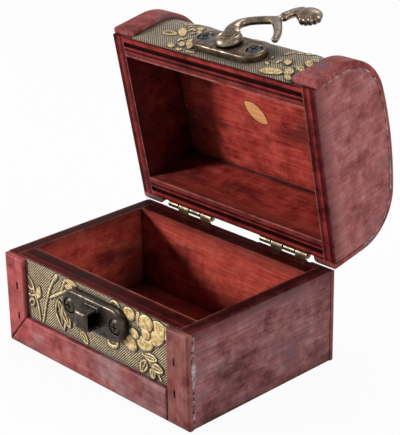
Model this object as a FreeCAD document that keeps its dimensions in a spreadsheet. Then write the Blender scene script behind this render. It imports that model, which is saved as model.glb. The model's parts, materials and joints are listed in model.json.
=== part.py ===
import FreeCAD, Part
import math
import os
import re

import Sketcher

# Keepsake box with a domed lid, in millimetres, +Z up. The base stands on Z = 0 with its footprint centred
# on the origin and its front facing -Y. Everything is drawn with the lid shut and the hook latched; the lid
# pieces are then turned open about the hinge axis, and the hook is swung about its rivet.

# Driving dimensions: alias, value, meaning.
DIMENSIONS = [
    ("box_width", 90.0, "base, outside of one side board to the other"),
    ("core_depth", 63.2, "front face of the front board to the back face of the back board"),
    ("base_height", 33.4, "base boards, floor to rim"),
    ("side_wall", 5.2, "thickness of side boards and lid ends"),
    ("front_wall", 7.4, "thickness of front and back boards"),
    ("bottom_wall", 4.0, "thickness of the bottom board"),
    ("edge_round", 0.5, "softened edges of the boards"),
    ("strip_thick", 2.1, "frame strips glued on the front and back"),
    ("post_width", 9.8, "width of a corner post"),
    ("post_drop", 0.4, "post tops below the rim"),
    ("rail_height", 11.5, "height of a bottom rail"),
    ("strip_round", 0.9, "rounded edges of the frame strips"),
    ("brad_width", 0.9, "brads through the front posts"),
    ("brad_height", 2.6, "brads, along the post"),
    ("brad_depth", 4.0, "brads, into the front board"),
    ("brad_sink", 0.4, "brad heads below the post face"),
    ("brad_inset", 0.9, "brad, from the end of the front board"),
    ("lower_brad", 11.3, "lower brad above the floor"),
    ("upper_brad", 22.5, "upper brad above the floor"),
    ("lid_width", 93.6, "lid, outside of one end to the other"),
    ("parting_gap", 0.4, "gap between base rim and shut lid"),
    ("lid_crown", 31.2, "lid rim to the top of the bare dome"),
    ("lid_spring", 14.0, "lid rim to where the upright faces start to curve"),
    ("crown_radius", 122.8, "curve of the bare dome's top"),
    ("lid_room", 22.0, "lid rim to the flat inner face of the top panel"),
    ("outer_ply", 2.0, "outer plies of the lid boards' rim"),
    ("ply_groove", 1.7, "sunk ply in the lid boards' rim"),
    ("ply_sink", 0.7, "depth of the sunk ply"),
    ("band_thick", 2.4, "bent bands over the lid ends"),
    ("band_width", 10.0, "width of a band"),
    ("band_rim_gap", 1.2, "band ends at the front, above the lid rim"),
    ("band_back_gap", 0.2, "band ends at the back, above the lid rim"),
    ("band_round", 1.4, "rounded outer edges of a band"),
    ("fabric_thick", 0.4, "brocade with its glue"),
    ("fabric_rim_gap", 0.3, "brocade edge short of a rim"),
    ("patch_length", 12.4, "veneer patch, tip to tip"),
    ("patch_width", 6.2, "veneer patch, across"),
    ("patch_depth", 1.0, "veneer patch, thickness"),
    ("patch_across", -4.2, "veneer patch centre, across the lid"),
    ("patch_along", -1.2, "veneer patch centre, front to back"),
    ("patch_turn", 32.0, "veneer patch, turn of its long axis"),
    ("hinge_end_gap", 1.2, "hinge end clear of the corner posts and the lid bands"),
    ("hinge_length", 22.4, "length of a hinge"),
    ("knuckle_gap", 0.8, "gap between knuckles"),
    ("barrel_radius", 1.25, "outside of a knuckle"),
    ("pin_radius", 0.6, "hinge pin"),
    ("pin_clearance", 0.05, "lid knuckles round the pin"),
    ("leaf_thick", 0.6, "hinge leaf"),
    ("leaf_height", 9.0, "hinge axis to the far edge of a leaf"),
    ("leaf_clearance", 0.2, "leaf edge clear of the other leaf's knuckles"),
    ("axis_offset", 1.5, "hinge axis behind the boards"),
    ("axis_rise", 1.4, "hinge axis above the base rim"),
    ("nail_spread", 14.0, "between the two nails of a leaf"),
    ("nail_offset", 5.4, "nails from the hinge axis"),
    ("nail_radius", 0.5, "nail shank"),
    ("nail_head_radius", 1.1, "nail head"),
    ("nail_top_radius", 0.55, "nail head, across its flat top"),
    ("nail_head_height", 0.5, "nail head"),
    ("nail_depth", 4.5, "nail in the board"),
    ("open_angle", 79.0, "lid opening at rest"),
    ("plate_length", 30.6, "latch plates, end to end"),
    ("plate_height", 11.8, "latch plates, across"),
    ("plate_thick", 2.8, "latch plates"),
    ("plate_round", 1.0, "rounded rim of the latch plates"),
    ("seat_radius", 2.8, "sunk seats of the latch screws"),
    ("seat_depth", 0.9, "sunk seats of the latch screws"),
    ("screw_spread", 22.4, "between the two screws of a latch plate"),
    ("screw_radius", 0.9, "latch screw shank"),
    ("screw_clearance", 0.15, "plate and brocade round a screw"),
    ("screw_depth", 5.0, "latch screw in the board"),
    ("screw_head_radius", 2.5, "latch screw head"),
    ("screw_top_radius", 1.8, "latch screw head, across its flat top"),
    ("screw_head_height", 1.0, "latch screw head"),
    ("cross_width", 0.7, "cross slot of a latch screw"),
    ("cross_length", 3.0, "cross slot of a latch screw"),
    ("cross_depth", 0.6, "cross slot of a latch screw"),
    ("hasp_height", 8.9, "hook rivet above the lid rim"),
    ("hasp_shift", 2.4, "hook rivet to the right of the middle"),
    ("catch_drop", 8.0, "middle of the catch below the base rim"),
    ("catch_shift", 1.6, "catch to the right of the middle"),
    ("nose_width", 6.0, "keeper, across the box"),
    ("nose_height", 7.0, "keeper, up the box"),
    ("nose_reach", 5.0, "keeper, out from the plate"),
    ("nose_wall", 1.1, "keeper wall"),
    ("nose_round", 1.6, "keeper's rounded edges"),
    ("rivet_radius", 1.6, "hook rivet shank"),
    ("rivet_head_radius", 2.7, "hook rivet head"),
    ("rivet_top_radius", 1.9, "hook rivet head, across its flat top"),
    ("rivet_head_height", 0.8, "hook rivet head"),
    ("eye_radius", 4.6, "eye of the hook"),
    ("eye_height", 3.6, "eye of the hook"),
    ("eye_bevel", 0.7, "bevelled top of the eye"),
    ("eye_gap", 0.15, "eye above the plate"),
    ("eye_clearance", 0.08, "eye round the rivet"),
    ("recess_margin", 0.4, "eye's recess round and under the rivet head"),
    ("rod_radius", 1.3, "arm, spur and handle of the hook"),
    ("rod_level", 2.3, "middle of the arm above the plate"),
    ("rod_ball", 1.4, "rounded fork and tip"),
    ("arm_start_out", 3.5, "arm's start, out from the rivet"),
    ("arm_start_up", 0.6, "arm's start, up from the rivet"),
    ("arm_half_turn", 62.0, "half of the arm's bend"),
    ("spur_first", -38.0, "direction of the fork from the rivet"),
    ("spur_last", -89.0, "direction of the spur's tip from the rivet"),
    ("knob_out", 5.6, "knob's centre from the fork"),
    ("knob_down", 9.8, "knob's centre below the fork"),
    ("handle_half_turn", 78.0, "half of the handle's bend"),
    ("knob_length", 9.4, "knob along the hook's plane"),
    ("knob_width", 6.4, "knob across"),
    ("knob_thick", 5.0, "knob out from the lid"),
    ("knob_turn", -60.0, "direction of the knob's length"),
    ("lobe_radius", 1.5, "scallops round the knob"),
    ("lobe_step", 34.0, "turn from one scallop to the next"),
    ("hook_swing", 105.0, "hook turned back from its latched place at rest"),
]
KNOB_LOBES = 5

doc = FreeCAD.newDocument("KeepsakeBox")
sheet = doc.addObject("Spreadsheet::Sheet", "Sizes")
for row, (alias, size, meaning) in enumerate(DIMENSIONS, start=1):
    sheet.set(f"A{row}", alias)
    sheet.set(f"B{row}", str(size))
    sheet.set(f"C{row}", meaning)
    sheet.setAlias(f"B{row}", alias)
doc.recompute()
ALIAS_WORD = re.compile(r"\b(" + "|".join(alias for alias, _, _ in DIMENSIONS) + r")\b")
nodes = []


# Helpers: sizes by expression, bodies, sketches and features

def tied(text):
    """The expression with each alias pointed at the sheet."""
    return ALIAS_WORD.sub(r"Sizes.\1", text)


def number(text):
    """The expression's value now."""
    return float(sheet.evalExpression(tied(text)))


def bind(thing, **expressions):
    """Ties properties of an object to expressions."""
    for name, text in expressions.items():
        thing.setExpression(name, tied(text))


def at(x, y, z, axis="0; 0; 1", turn="0"):
    """A placement expression: a turn about an axis, then a move."""
    return f"placement(vector({x}; {y}; {z}); rotation(vector({axis}); {turn}))"


def new_node(kind, label, placement=None):
    """A sub-part of the document, placed by an expression."""
    node = doc.addObject(kind, label)
    node.Label = label
    if placement:
        bind(node, Placement=placement)
    nodes.append(node)
    return node


def new_body(label, placement=None):
    return new_node("PartDesign::Body", label, placement)


def new_sketch(body, role, offset="0"):
    """A sketch on one of the body's own origin planes, moved along that plane's normal."""
    support = next(plane for plane in body.Origin.OriginFeatures if plane.Role == role)
    sketch = body.newObject("Sketcher::SketchObject", f"{body.Label}_sketch")
    sketch.AttachmentSupport = (support, [""])
    sketch.MapMode = "FlatFace"
    sketch.setExpression("AttachmentOffset.Base.z", tied(offset))
    return sketch


def fix_point(sketch, geometry, position, x, y):
    """Dimensions a point from the sketch's origin."""
    for kind, axis, text in (("DistanceX", -2, x), ("DistanceY", -1, y)):
        size = number(text)
        if abs(size) < 1e-9:
            sketch.addConstraint(Sketcher.Constraint("PointOnObject", geometry, position, axis))
        else:
            index = sketch.addConstraint(Sketcher.Constraint(kind, -1, 1, geometry, position, size))
            sketch.setExpression(f"Constraints[{index}]", tied(text))


def draw_circle(sketch, x, y, radius):
    centre = FreeCAD.Vector(number(x), number(y), 0)
    circle = Part.Circle(centre, FreeCAD.Vector(0, 0, 1), number(radius))
    geometry = sketch.addGeometry(circle, False)
    fix_point(sketch, geometry, 3, x, y)
    index = sketch.addConstraint(Sketcher.Constraint("Radius", geometry, number(radius)))
    sketch.setExpression(f"Constraints[{index}]", tied(radius))


def arc_between(start, end, radius, left):
    """The shorter arc from start to end, turning left or right on its way."""
    chord = end - start
    rise = math.sqrt(max(radius ** 2 - chord.Length ** 2 / 4, 0.0))
    side = FreeCAD.Vector(-chord.y, chord.x, 0) / chord.Length
    centre = (start + end) / 2 + side * (rise if left else -rise)
    first, last = (start - centre, end - centre) if left else (end - centre, start - centre)
    angles = [math.atan2(spoke.y, spoke.x) for spoke in (first, last)]
    if angles[1] < angles[0]:
        angles[1] += 2 * math.pi
    return Part.ArcOfCircle(Part.Circle(centre, FreeCAD.Vector(0, 0, 1), radius), *angles)


def draw_loop(sketch, corners):
    """A closed outline. A corner is (x, y), or (x, y, radius, "left" or "right") where an arc follows."""
    points = [FreeCAD.Vector(number(corner[0]), number(corner[1]), 0) for corner in corners]
    first = sketch.GeometryCount
    count = len(corners)
    ends = []
    for index, corner in enumerate(corners):
        start, end = points[index], points[(index + 1) % count]
        if len(corner) == 2:
            sketch.addGeometry(Part.LineSegment(start, end), False)
            ends.append((1, 2))
        else:
            left = corner[3] == "left"
            sketch.addGeometry(arc_between(start, end, number(corner[2]), left), False)
            ends.append((1, 2) if left else (2, 1))
    for index, corner in enumerate(corners):
        after = (index + 1) % count
        joint = Sketcher.Constraint("Coincident", first + index, ends[index][1], first + after, ends[after][0])
        sketch.addConstraint(joint)
    for index, corner in enumerate(corners):
        fix_point(sketch, first + index, ends[index][0], corner[0], corner[1])
        if len(corner) > 2:
            radius = Sketcher.Constraint("Radius", first + index, number(corner[2]))
            constraint = sketch.addConstraint(radius)
            sketch.setExpression(f"Constraints[{constraint}]", tied(corner[2]))


def rectangle(x0, x1, y0, y1):
    return [(x0, y0), (x1, y0), (x1, y1), (x0, y1)]


def pad(body, sketch, length):
    feature = body.newObject("PartDesign::Pad", f"{body.Label}_pad")
    feature.Profile = sketch
    bind(feature, Length=length)
    doc.recompute()
    return feature


def pocket(body, sketch, length=None, reverse=False):
    """Cuts the sketch out of the body, to a depth or through all, and makes sure that it cut."""
    before = body.Shape.Volume
    feature = body.newObject("PartDesign::Pocket", f"{body.Label}_pocket")
    feature.Profile = sketch
    feature.Reversed = reverse
    if length:
        bind(feature, Length=length)
    else:
        feature.Type = "ThroughAll"
    doc.recompute()
    if not body.Shape.Volume < before:
        raise RuntimeError(f"{body.Label}: a pocket cut nothing")


def edges_on(body, axis, level, test=None):
    """Names of the edges of the body's last feature that lie in the plane axis = level."""
    low, high = f"{axis}Min", f"{axis}Max"
    place = number(level)
    names = []
    for index, edge in enumerate(body.Tip.Shape.Edges, start=1):
        box = edge.BoundBox
        flat = abs(getattr(box, low) - place) < 1e-4 and abs(getattr(box, high) - place) < 1e-4
        if flat and (test is None or test(edge)):
            names.append(f"Edge{index}")
    return names


def dress(body, kind, names, **sizes):
    """A fillet or chamfer on named edges of the body's last feature."""
    base = body.Tip
    feature = body.newObject(f"PartDesign::{kind}", f"{body.Label}_{kind.lower()}")
    feature.Base = (base, names)
    bind(feature, **sizes)
    doc.recompute()


def primitive(kind, name, placement, **sizes):
    """A Part primitive that goes into a boolean or a compound."""
    solid = doc.addObject(f"Part::{kind}", name)
    bind(solid, Placement=placement, **sizes)
    return solid


def combine(kind, name, **inputs):
    """A Part boolean or compound that is not yet a sub-part."""
    result = doc.addObject(f"Part::{kind}", name)
    for key, objects in inputs.items():
        setattr(result, key, objects)
    return result


# Places that several pieces share

BASE_SIDE = "box_width / 2"
BASE_INNER = "(box_width / 2 - side_wall)"
CORE = "core_depth / 2"
CORE_INNER = "(core_depth / 2 - front_wall)"
POST_INNER = "(box_width / 2 - post_width)"
FRAME_FACE = "(core_depth / 2 + strip_thick)"
LID_SIDE = "lid_width / 2"
LID_INNER = "(lid_width / 2 - side_wall)"
BAND_INNER = "(lid_width / 2 - band_width)"
RIM = "(base_height + parting_gap)"
SPRING = f"({RIM} + lid_spring)"
CEILING = f"({RIM} + lid_room)"
HINGE_Y = f"({CORE} + axis_offset)"
HINGE_Z = "(base_height + axis_rise)"
HINGE_CENTRE = f"(min({POST_INNER}; {BAND_INNER}) - hinge_end_gap - hinge_length / 2)"
PLATE_SEAT = f"({CORE} + fabric_thick)"
HASP_Z = f"({RIM} + hasp_height)"
CATCH_Z = "(base_height - catch_drop)"
OPEN_LID = f"placement(vector(0; 0; 0); rotation(vector(1; 0; 0); -open_angle); vector(0; {HINGE_Y}; {HINGE_Z}))"
FACING_FRONT = {"axis": "1; 0; 0", "turn": "90"}
FACING_BACK = {"axis": "1; 0; 0", "turn": "-90"}
SIDES = (("left", "-1"), ("right", "1"))
SCREW_PLACES = [f"{sign} * screw_spread / 2" for _, sign in SIDES]
NAIL_PLACES = [
    f"({sign} * {HINGE_CENTRE} + {end} * nail_spread / 2)" for _, sign in SIDES for end in ("-1", "1")
]
BRAD_PLACES = [
    (f"{sign} * ({BASE_INNER} - brad_inset)", level)
    for _, sign in SIDES
    for level in ("lower_brad", "upper_brad")
]


# Base boards: two sides that run the full depth, and the front, back and bottom boards between them

def board(label, x0, x1, y0, y1, height):
    body = new_body(label)
    sketch = new_sketch(body, "XY_Plane")
    draw_loop(sketch, rectangle(x0, x1, y0, y1))
    pad(body, sketch, height)
    return body


for side, sign in SIDES:
    body = board(
        f"base_{side}_side", f"{sign} * {BASE_SIDE}", f"{sign} * {BASE_INNER}", f"-{CORE}", CORE, "base_height"
    )
    dress(body, "Fillet", edges_on(body, "X", f"{sign} * {BASE_SIDE}"), Radius="edge_round")

front_board = board("base_front_board", f"-{BASE_INNER}", BASE_INNER, f"-{CORE}", f"-{CORE_INNER}", "base_height")
back_board = board("base_back_board", f"-{BASE_INNER}", BASE_INNER, CORE_INNER, CORE, "base_height")
board("base_bottom_board", f"-{BASE_INNER}", BASE_INNER, f"-{CORE_INNER}", CORE_INNER, "bottom_wall")

# Pilot holes for the catch screws, the brads and the hinge nails. The XZ plane's normal is -Y.
sketch = new_sketch(front_board, "XZ_Plane", f"{CORE} - screw_depth")
for place in SCREW_PLACES:
    draw_circle(sketch, f"catch_shift + {place}", CATCH_Z, "screw_radius")
pocket(front_board, sketch, reverse=True)
sketch = new_sketch(front_board, "XZ_Plane", f"{CORE} - brad_depth")


def brad_outline(x, z):
    return rectangle(
        f"{x} - brad_width / 2", f"{x} + brad_width / 2", f"{z} - brad_height / 2", f"{z} + brad_height / 2"
    )


for x, z in BRAD_PLACES:
    draw_loop(sketch, brad_outline(x, z))
pocket(front_board, sketch, reverse=True)
sketch = new_sketch(back_board, "XZ_Plane", f"nail_depth - {CORE}")
for place in NAIL_PLACES:
    draw_circle(sketch, place, f"{HINGE_Z} - nail_offset", "nail_radius")
pocket(back_board, sketch)


# Frame strips: posts and rails with rounded edges, glued and bradded on the front and glued on the back

def strip(label, face, outline, holes=()):
    """A strip on the front (face -1) or the back (face 1) of the core, drawn in the XZ plane."""
    body = new_body(label)
    sketch = new_sketch(body, "XZ_Plane", CORE if face < 0 else f"-{FRAME_FACE}")
    draw_loop(sketch, outline)
    pad(body, sketch, "strip_thick")
    dress(body, "Fillet", edges_on(body, "Y", f"{face} * {FRAME_FACE}"), Radius="strip_round")
    for x, z in holes:
        sketch = new_sketch(body, "XZ_Plane", CORE)
        draw_loop(sketch, brad_outline(x, z))
        pocket(body, sketch, reverse=True)


POST_TOP = "(base_height - post_drop)"
left_brads, right_brads = BRAD_PLACES[:2], BRAD_PLACES[2:]
mitred_post = [
    (f"-{BASE_SIDE}", "0"),
    (f"-{POST_INNER}", "rail_height"),
    (f"-{POST_INNER}", POST_TOP),
    (f"-{BASE_SIDE}", POST_TOP),
]
mitred_rail = [
    (f"-{BASE_SIDE}", "0"),
    (POST_INNER, "0"),
    (POST_INNER, "rail_height"),
    (f"-{POST_INNER}", "rail_height"),
]
strip("front_left_post", -1, mitred_post, left_brads)
strip("front_right_post", -1, rectangle(POST_INNER, BASE_SIDE, "0", POST_TOP), right_brads)
strip("front_bottom_rail", -1, mitred_rail)
for side, sign in SIDES:
    strip(f"back_{side}_post", 1, rectangle(f"{sign} * {POST_INNER}", f"{sign} * {BASE_SIDE}", "0", POST_TOP))
strip("back_bottom_rail", 1, rectangle(f"-{POST_INNER}", POST_INNER, "0", "rail_height"))

brads = []
for index, (x, z) in enumerate(BRAD_PLACES):
    brads.append(primitive(
        "Box", f"brad_{index}",
        at(f"{x} - brad_width / 2", f"brad_sink - {FRAME_FACE}", f"{z} - brad_height / 2"),
        Length="brad_width", Width="strip_thick - brad_sink + brad_depth", Height="brad_height",
    ))
new_node("Part::Compound", "front_frame_brads").Links = brads

# Front brocade: a thin panel inside the frame, pierced by the catch screws
front_fabric = new_body("front_fabric")
sketch = new_sketch(front_fabric, "XZ_Plane", CORE)
draw_loop(sketch, rectangle(f"-{POST_INNER}", POST_INNER, "rail_height", "base_height - fabric_rim_gap"))
pad(front_fabric, sketch, "fabric_thick")
sketch = new_sketch(front_fabric, "XZ_Plane", CORE)
for place in SCREW_PLACES:
    draw_circle(sketch, f"catch_shift + {place}", CATCH_Z, "screw_radius + screw_clearance")
pocket(front_fabric, sketch, reverse=True)


# Lid: arched ends, front and back boards with a sunk ply in their rims, and a top panel flat underneath

CORNER_RADIUS = (
    f"((crown_radius ^ 2 - (core_depth / 2) ^ 2 - (lid_spring - lid_crown + crown_radius) ^ 2)"
    f" / (2 * (crown_radius - {CORE})))"
)


class Dome:
    """The dome's outline, offset outwards: two upright faces, two corner arcs and the crown."""

    def __init__(self, offset):
        share = f"((crown_radius + {offset}) / (crown_radius - {CORNER_RADIUS}))"
        self.foot = f"({CORE} + {offset})"
        self.corner = f"({CORNER_RADIUS} + {offset})"
        self.crown = f"(crown_radius + {offset})"
        self.meet_y = f"(({CORE} - {CORNER_RADIUS}) * {share})"
        self.meet_z = f"({RIM} + lid_crown - crown_radius + (lid_spring - lid_crown + crown_radius) * {share})"

    def back_to_front(self):
        """From the back spring line over the crown to the front spring line."""
        return [
            (self.foot, SPRING, self.corner, "left"),
            (self.meet_y, self.meet_z, self.crown, "left"),
            (f"-{self.meet_y}", self.meet_z, self.corner, "left"),
            (f"-{self.foot}", SPRING),
        ]

    def front_to_back(self):
        return [
            (f"-{self.foot}", SPRING, self.corner, "right"),
            (f"-{self.meet_y}", self.meet_z, self.crown, "right"),
            (self.meet_y, self.meet_z, self.corner, "right"),
            (self.foot, SPRING),
        ]


bare = Dome("0")
CEILING_EDGE = f"({CORE} - {CORNER_RADIUS} + sqrt({CORNER_RADIUS} ^ 2 - (lid_room - lid_spring) ^ 2))"


def lid_profile(label, x0, length, *outline):
    """A lid piece drawn in the YZ plane, from x0 towards +X."""
    body = new_body(label, OPEN_LID)
    sketch = new_sketch(body, "YZ_Plane", x0)
    draw_loop(sketch, outline)
    pad(body, sketch, length)
    return body


for side, sign in SIDES:
    start = f"-{LID_SIDE}" if sign == "-1" else LID_INNER
    body = lid_profile(
        f"lid_{side}_end", start, "side_wall", (f"-{bare.foot}", RIM), (bare.foot, RIM), *bare.back_to_front()
    )
    dress(body, "Fillet", edges_on(body, "X", f"{sign} * {LID_SIDE}"), Radius="edge_round")


def rim_steps(sign):
    """The rim of a lid board from its outer face to its inner face, with one sunk ply."""
    groove_out = f"{sign} * ({CORE} - outer_ply)"
    groove_in = f"{sign} * ({CORE} - outer_ply - ply_groove)"
    sunk = f"{RIM} + ply_sink"
    return [
        (f"{sign} * {CORE}", RIM), (groove_out, RIM), (groove_out, sunk), (groove_in, sunk), (groove_in, RIM),
        (f"{sign} * {CORE_INNER}", RIM), (f"{sign} * {CORE_INNER}", CEILING),
    ]


lid_front = lid_profile(
    "lid_front_board", f"-{LID_INNER}", f"2 * {LID_INNER}",
    *rim_steps("-1"), (f"-{CEILING_EDGE}", CEILING, bare.corner, "left"), (f"-{bare.foot}", SPRING),
)
lid_back = lid_profile(
    "lid_back_board", f"-{LID_INNER}", f"2 * {LID_INNER}",
    *rim_steps("1"), (CEILING_EDGE, CEILING, bare.corner, "right"), (bare.foot, SPRING),
)
lid_top = lid_profile(
    "lid_top_panel", f"-{LID_INNER}", f"2 * {LID_INNER}",
    (f"-{CEILING_EDGE}", CEILING),
    (CEILING_EDGE, CEILING, bare.corner, "left"),
    (bare.meet_y, bare.meet_z, bare.crown, "left"),
    (f"-{bare.meet_y}", bare.meet_z, bare.corner, "left"),
)
sketch = new_sketch(lid_front, "XZ_Plane", f"{CORE} - screw_depth")
for place in SCREW_PLACES:
    draw_circle(sketch, f"hasp_shift + {place}", HASP_Z, "screw_radius")
pocket(lid_front, sketch, reverse=True)
sketch = new_sketch(lid_back, "XZ_Plane", f"nail_depth - {CORE}")
for place in NAIL_PLACES:
    draw_circle(sketch, place, f"{HINGE_Z} + nail_offset", "nail_radius")
pocket(lid_back, sketch)

# Bent bands over the lid ends, rounded along their outer edges
band = Dome("band_thick")
FRONT_FOOT = f"({RIM} + band_rim_gap)"
BACK_FOOT = f"({RIM} + band_back_gap)"
band_outline = [
    (f"-{bare.foot}", FRONT_FOOT), *bare.front_to_back(), (bare.foot, BACK_FOOT),
    (band.foot, BACK_FOOT), *band.back_to_front(), (f"-{band.foot}", FRONT_FOOT),
]


def on_band_face(edge):
    """Whether an edge belongs to the outer face of a band."""
    reach = max(abs(vertex.Y) for vertex in edge.Vertexes)
    if edge.Curve.TypeId == "Part::GeomLine":
        return reach > number(f"{CORE} + band_thick / 2") and edge.Length > number("2 * band_thick")
    return any(abs(edge.Curve.Radius - number(radius)) < 1e-4 for radius in (band.corner, band.crown))


for side, sign in SIDES:
    start = f"-{LID_SIDE}" if sign == "-1" else BAND_INNER
    body = lid_profile(f"lid_{side}_band", start, "band_width", *band_outline)
    long_edges = [
        name for level in (start, f"{start} + band_width") for name in edges_on(body, "X", level, on_band_face)
    ]
    dress(body, "Fillet", long_edges, Radius="band_round")

# Lid brocade: one sheet from the front rim over the dome, ending above the hinges at the back
cover = Dome("fabric_thick")
FABRIC_FOOT = f"({RIM} + fabric_rim_gap)"
lid_fabric = lid_profile(
    "lid_fabric", f"-{BAND_INNER}", f"2 * {BAND_INNER}",
    (f"-{bare.foot}", FABRIC_FOOT), *bare.front_to_back(),
    *cover.back_to_front(), (f"-{cover.foot}", FABRIC_FOOT),
)
sketch = new_sketch(lid_fabric, "XZ_Plane")
for place in SCREW_PLACES:
    draw_circle(sketch, f"hasp_shift + {place}", HASP_Z, "screw_radius + screw_clearance")
pocket(lid_fabric, sketch, reverse=True)

# Veneer patch: a boat-shaped plug let into the inner face of the top panel
PATCH_RADIUS = "(patch_length ^ 2 / (4 * patch_width) + patch_width / 4)"
patch_outline = [
    (
        f"patch_across + {end} * patch_length / 2 * cos(patch_turn)",
        f"patch_along + {end} * patch_length / 2 * sin(patch_turn)",
        PATCH_RADIUS, "left",
    )
    for end in ("-1", "1")
]
sketch = new_sketch(lid_top, "XY_Plane", CEILING)
draw_loop(sketch, patch_outline)
pocket(lid_top, sketch, "patch_depth", reverse=True)
patch = new_body("lid_veneer_patch", OPEN_LID)
sketch = new_sketch(patch, "XY_Plane", CEILING)
draw_loop(sketch, patch_outline)
pad(patch, sketch, "patch_depth")


# Hinges: each has a base leaf, a lid leaf and a pin. Knuckles one and three from the left are the lid's.

ALONG_X = {"axis": "0; 1; 0", "turn": "90"}
KNUCKLE_PITCH = "(hinge_length / 4)"
LEAF_CLEAR = "(barrel_radius + leaf_clearance)"


def leaf(label, centre, up, first_knuckle, bore, placement=None):
    """A hinge leaf: plate above (up 1) or below (up -1) the axis, two tabs, two bored knuckles, two holes."""
    left_end = f"({centre} - hinge_length / 2)"
    plate_low = f"({HINGE_Z} + {LEAF_CLEAR})" if up > 0 else f"({HINGE_Z} - leaf_height)"
    solids = [primitive(
        "Box", f"{label}_plate", at(left_end, CORE, plate_low),
        Length="hinge_length", Width="leaf_thick", Height=f"leaf_height - {LEAF_CLEAR}",
    )]
    for knuckle in (first_knuckle, first_knuckle + 2):
        start = f"({left_end} + {knuckle} * {KNUCKLE_PITCH} + knuckle_gap / 2)"
        solids.append(primitive(
            "Box", f"{label}_tab", at(start, CORE, HINGE_Z if up > 0 else f"({HINGE_Z} - {LEAF_CLEAR})"),
            Length=f"{KNUCKLE_PITCH} - knuckle_gap", Width="leaf_thick", Height=LEAF_CLEAR,
        ))
        solids.append(primitive(
            "Cylinder", f"{label}_knuckle", at(start, HINGE_Y, HINGE_Z, **ALONG_X),
            Radius="barrel_radius", Height=f"{KNUCKLE_PITCH} - knuckle_gap",
        ))
    bores = [primitive(
        "Cylinder", f"{label}_bore", at(left_end, HINGE_Y, HINGE_Z, **ALONG_X), Radius=bore, Height="hinge_length",
    )]
    for end in ("-1", "1"):
        bores.append(primitive(
            "Cylinder", f"{label}_nail_hole",
            at(f"{centre} + {end} * nail_spread / 2", CORE, f"{HINGE_Z} + {up} * nail_offset", **FACING_BACK),
            Radius="nail_radius", Height="leaf_thick",
        ))
    node = new_node("Part::Cut", label, placement)
    node.Base = combine("MultiFuse", f"{label}_blank", Shapes=solids)
    node.Tool = combine("MultiFuse", f"{label}_bores", Shapes=bores)


for side, sign in SIDES:
    centre = f"({sign} * {HINGE_CENTRE})"
    leaf(f"{side}_hinge_base_leaf", centre, -1, 1, "pin_radius")
    leaf(f"{side}_hinge_lid_leaf", centre, 1, 0, "pin_radius + pin_clearance", OPEN_LID)
    pin = new_node(
        "Part::Cylinder", f"{side}_hinge_pin", at(f"{centre} - hinge_length / 2", HINGE_Y, HINGE_Z, **ALONG_X)
    )
    bind(pin, Radius="pin_radius", Height="hinge_length")


# Nails of the hinge leaves: domed heads on the leaf, shanks in the board

def nails(label, level, placement=None):
    group = []
    for index, place in enumerate(NAIL_PLACES):
        name = f"{label}_{index}"
        shank = primitive(
            "Cylinder", f"{name}_shank", at(place, f"{CORE} - nail_depth", level, **FACING_BACK),
            Radius="nail_radius", Height="nail_depth + leaf_thick + nail_head_height / 2",
        )
        head = primitive(
            "Cone", f"{name}_head", at(place, f"{CORE} + leaf_thick", level, **FACING_BACK),
            Radius1="nail_head_radius", Radius2="nail_top_radius", Height="nail_head_height",
        )
        group.append(combine("MultiFuse", name, Shapes=[shank, head]))
    new_node("Part::Compound", label, placement).Links = group


nails("hinge_base_nails", f"{HINGE_Z} - nail_offset")
nails("hinge_lid_nails", f"{HINGE_Z} + nail_offset", OPEN_LID)


# Latch plates: cast oblong plates with a rounded rim and sunk screw seats, drawn face up and stood against
# the front

HASP_PLACE = f"{OPEN_LID} * {at('hasp_shift', f'-{PLATE_SEAT}', HASP_Z, **FACING_FRONT)}"
CATCH_PLACE = at("catch_shift", f"-{PLATE_SEAT}", CATCH_Z, **FACING_FRONT)
SEAT = "(plate_thick - seat_depth)"
END_RADIUS = "(plate_height / 2)"
END_CENTRE = "(plate_length / 2 - plate_height / 2)"
oblong = [
    (f"-{END_CENTRE}", f"-{END_RADIUS}"),
    (END_CENTRE, f"-{END_RADIUS}", END_RADIUS, "left"),
    ("plate_length / 2", "0", END_RADIUS, "left"),
    (END_CENTRE, END_RADIUS),
    (f"-{END_CENTRE}", END_RADIUS, END_RADIUS, "left"),
    ("-plate_length / 2", "0", END_RADIUS, "left"),
]


def latch_plate(label, placement):
    body = new_body(label, placement)
    sketch = new_sketch(body, "XY_Plane")
    draw_loop(sketch, oblong)
    pad(body, sketch, "plate_thick")
    dress(body, "Fillet", edges_on(body, "Z", "plate_thick"), Radius="plate_round")
    sketch = new_sketch(body, "XY_Plane")
    for place in SCREW_PLACES:
        draw_circle(sketch, place, "0", "screw_radius + screw_clearance")
    pocket(body, sketch, reverse=True)
    sketch = new_sketch(body, "XY_Plane", SEAT)
    for place in SCREW_PLACES:
        draw_circle(sketch, place, "0", "seat_radius")
    pocket(body, sketch, reverse=True)
    return body


hasp_plate = latch_plate("hasp_plate", HASP_PLACE)
sketch = new_sketch(hasp_plate, "XY_Plane")
draw_circle(sketch, "0", "0", "rivet_radius")
pocket(hasp_plate, sketch, reverse=True)

# The catch carries a hollow keeper: closed on the left, open to the right where the spur comes in
catch_plate = latch_plate("catch_plate", CATCH_PLACE)
sketch = new_sketch(catch_plate, "XY_Plane")
draw_loop(sketch, rectangle("-nose_width / 2", "nose_width / 2", "-nose_height / 2", "nose_height / 2"))
pad(catch_plate, sketch, "plate_thick + nose_reach")
crest = edges_on(catch_plate, "Z", "plate_thick + nose_reach")
dress(catch_plate, "Fillet", crest, Radius="nose_round")
sketch = new_sketch(catch_plate, "YZ_Plane", "nose_width / 2")
mouth_half = "(nose_height / 2 - nose_wall)"
draw_loop(sketch, rectangle(f"-{mouth_half}", mouth_half, "plate_thick", "plate_thick + nose_reach - nose_wall"))
pocket(catch_plate, sketch, "nose_width - nose_wall")


# Latch screws: flat-topped heads with a cross slot

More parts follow.
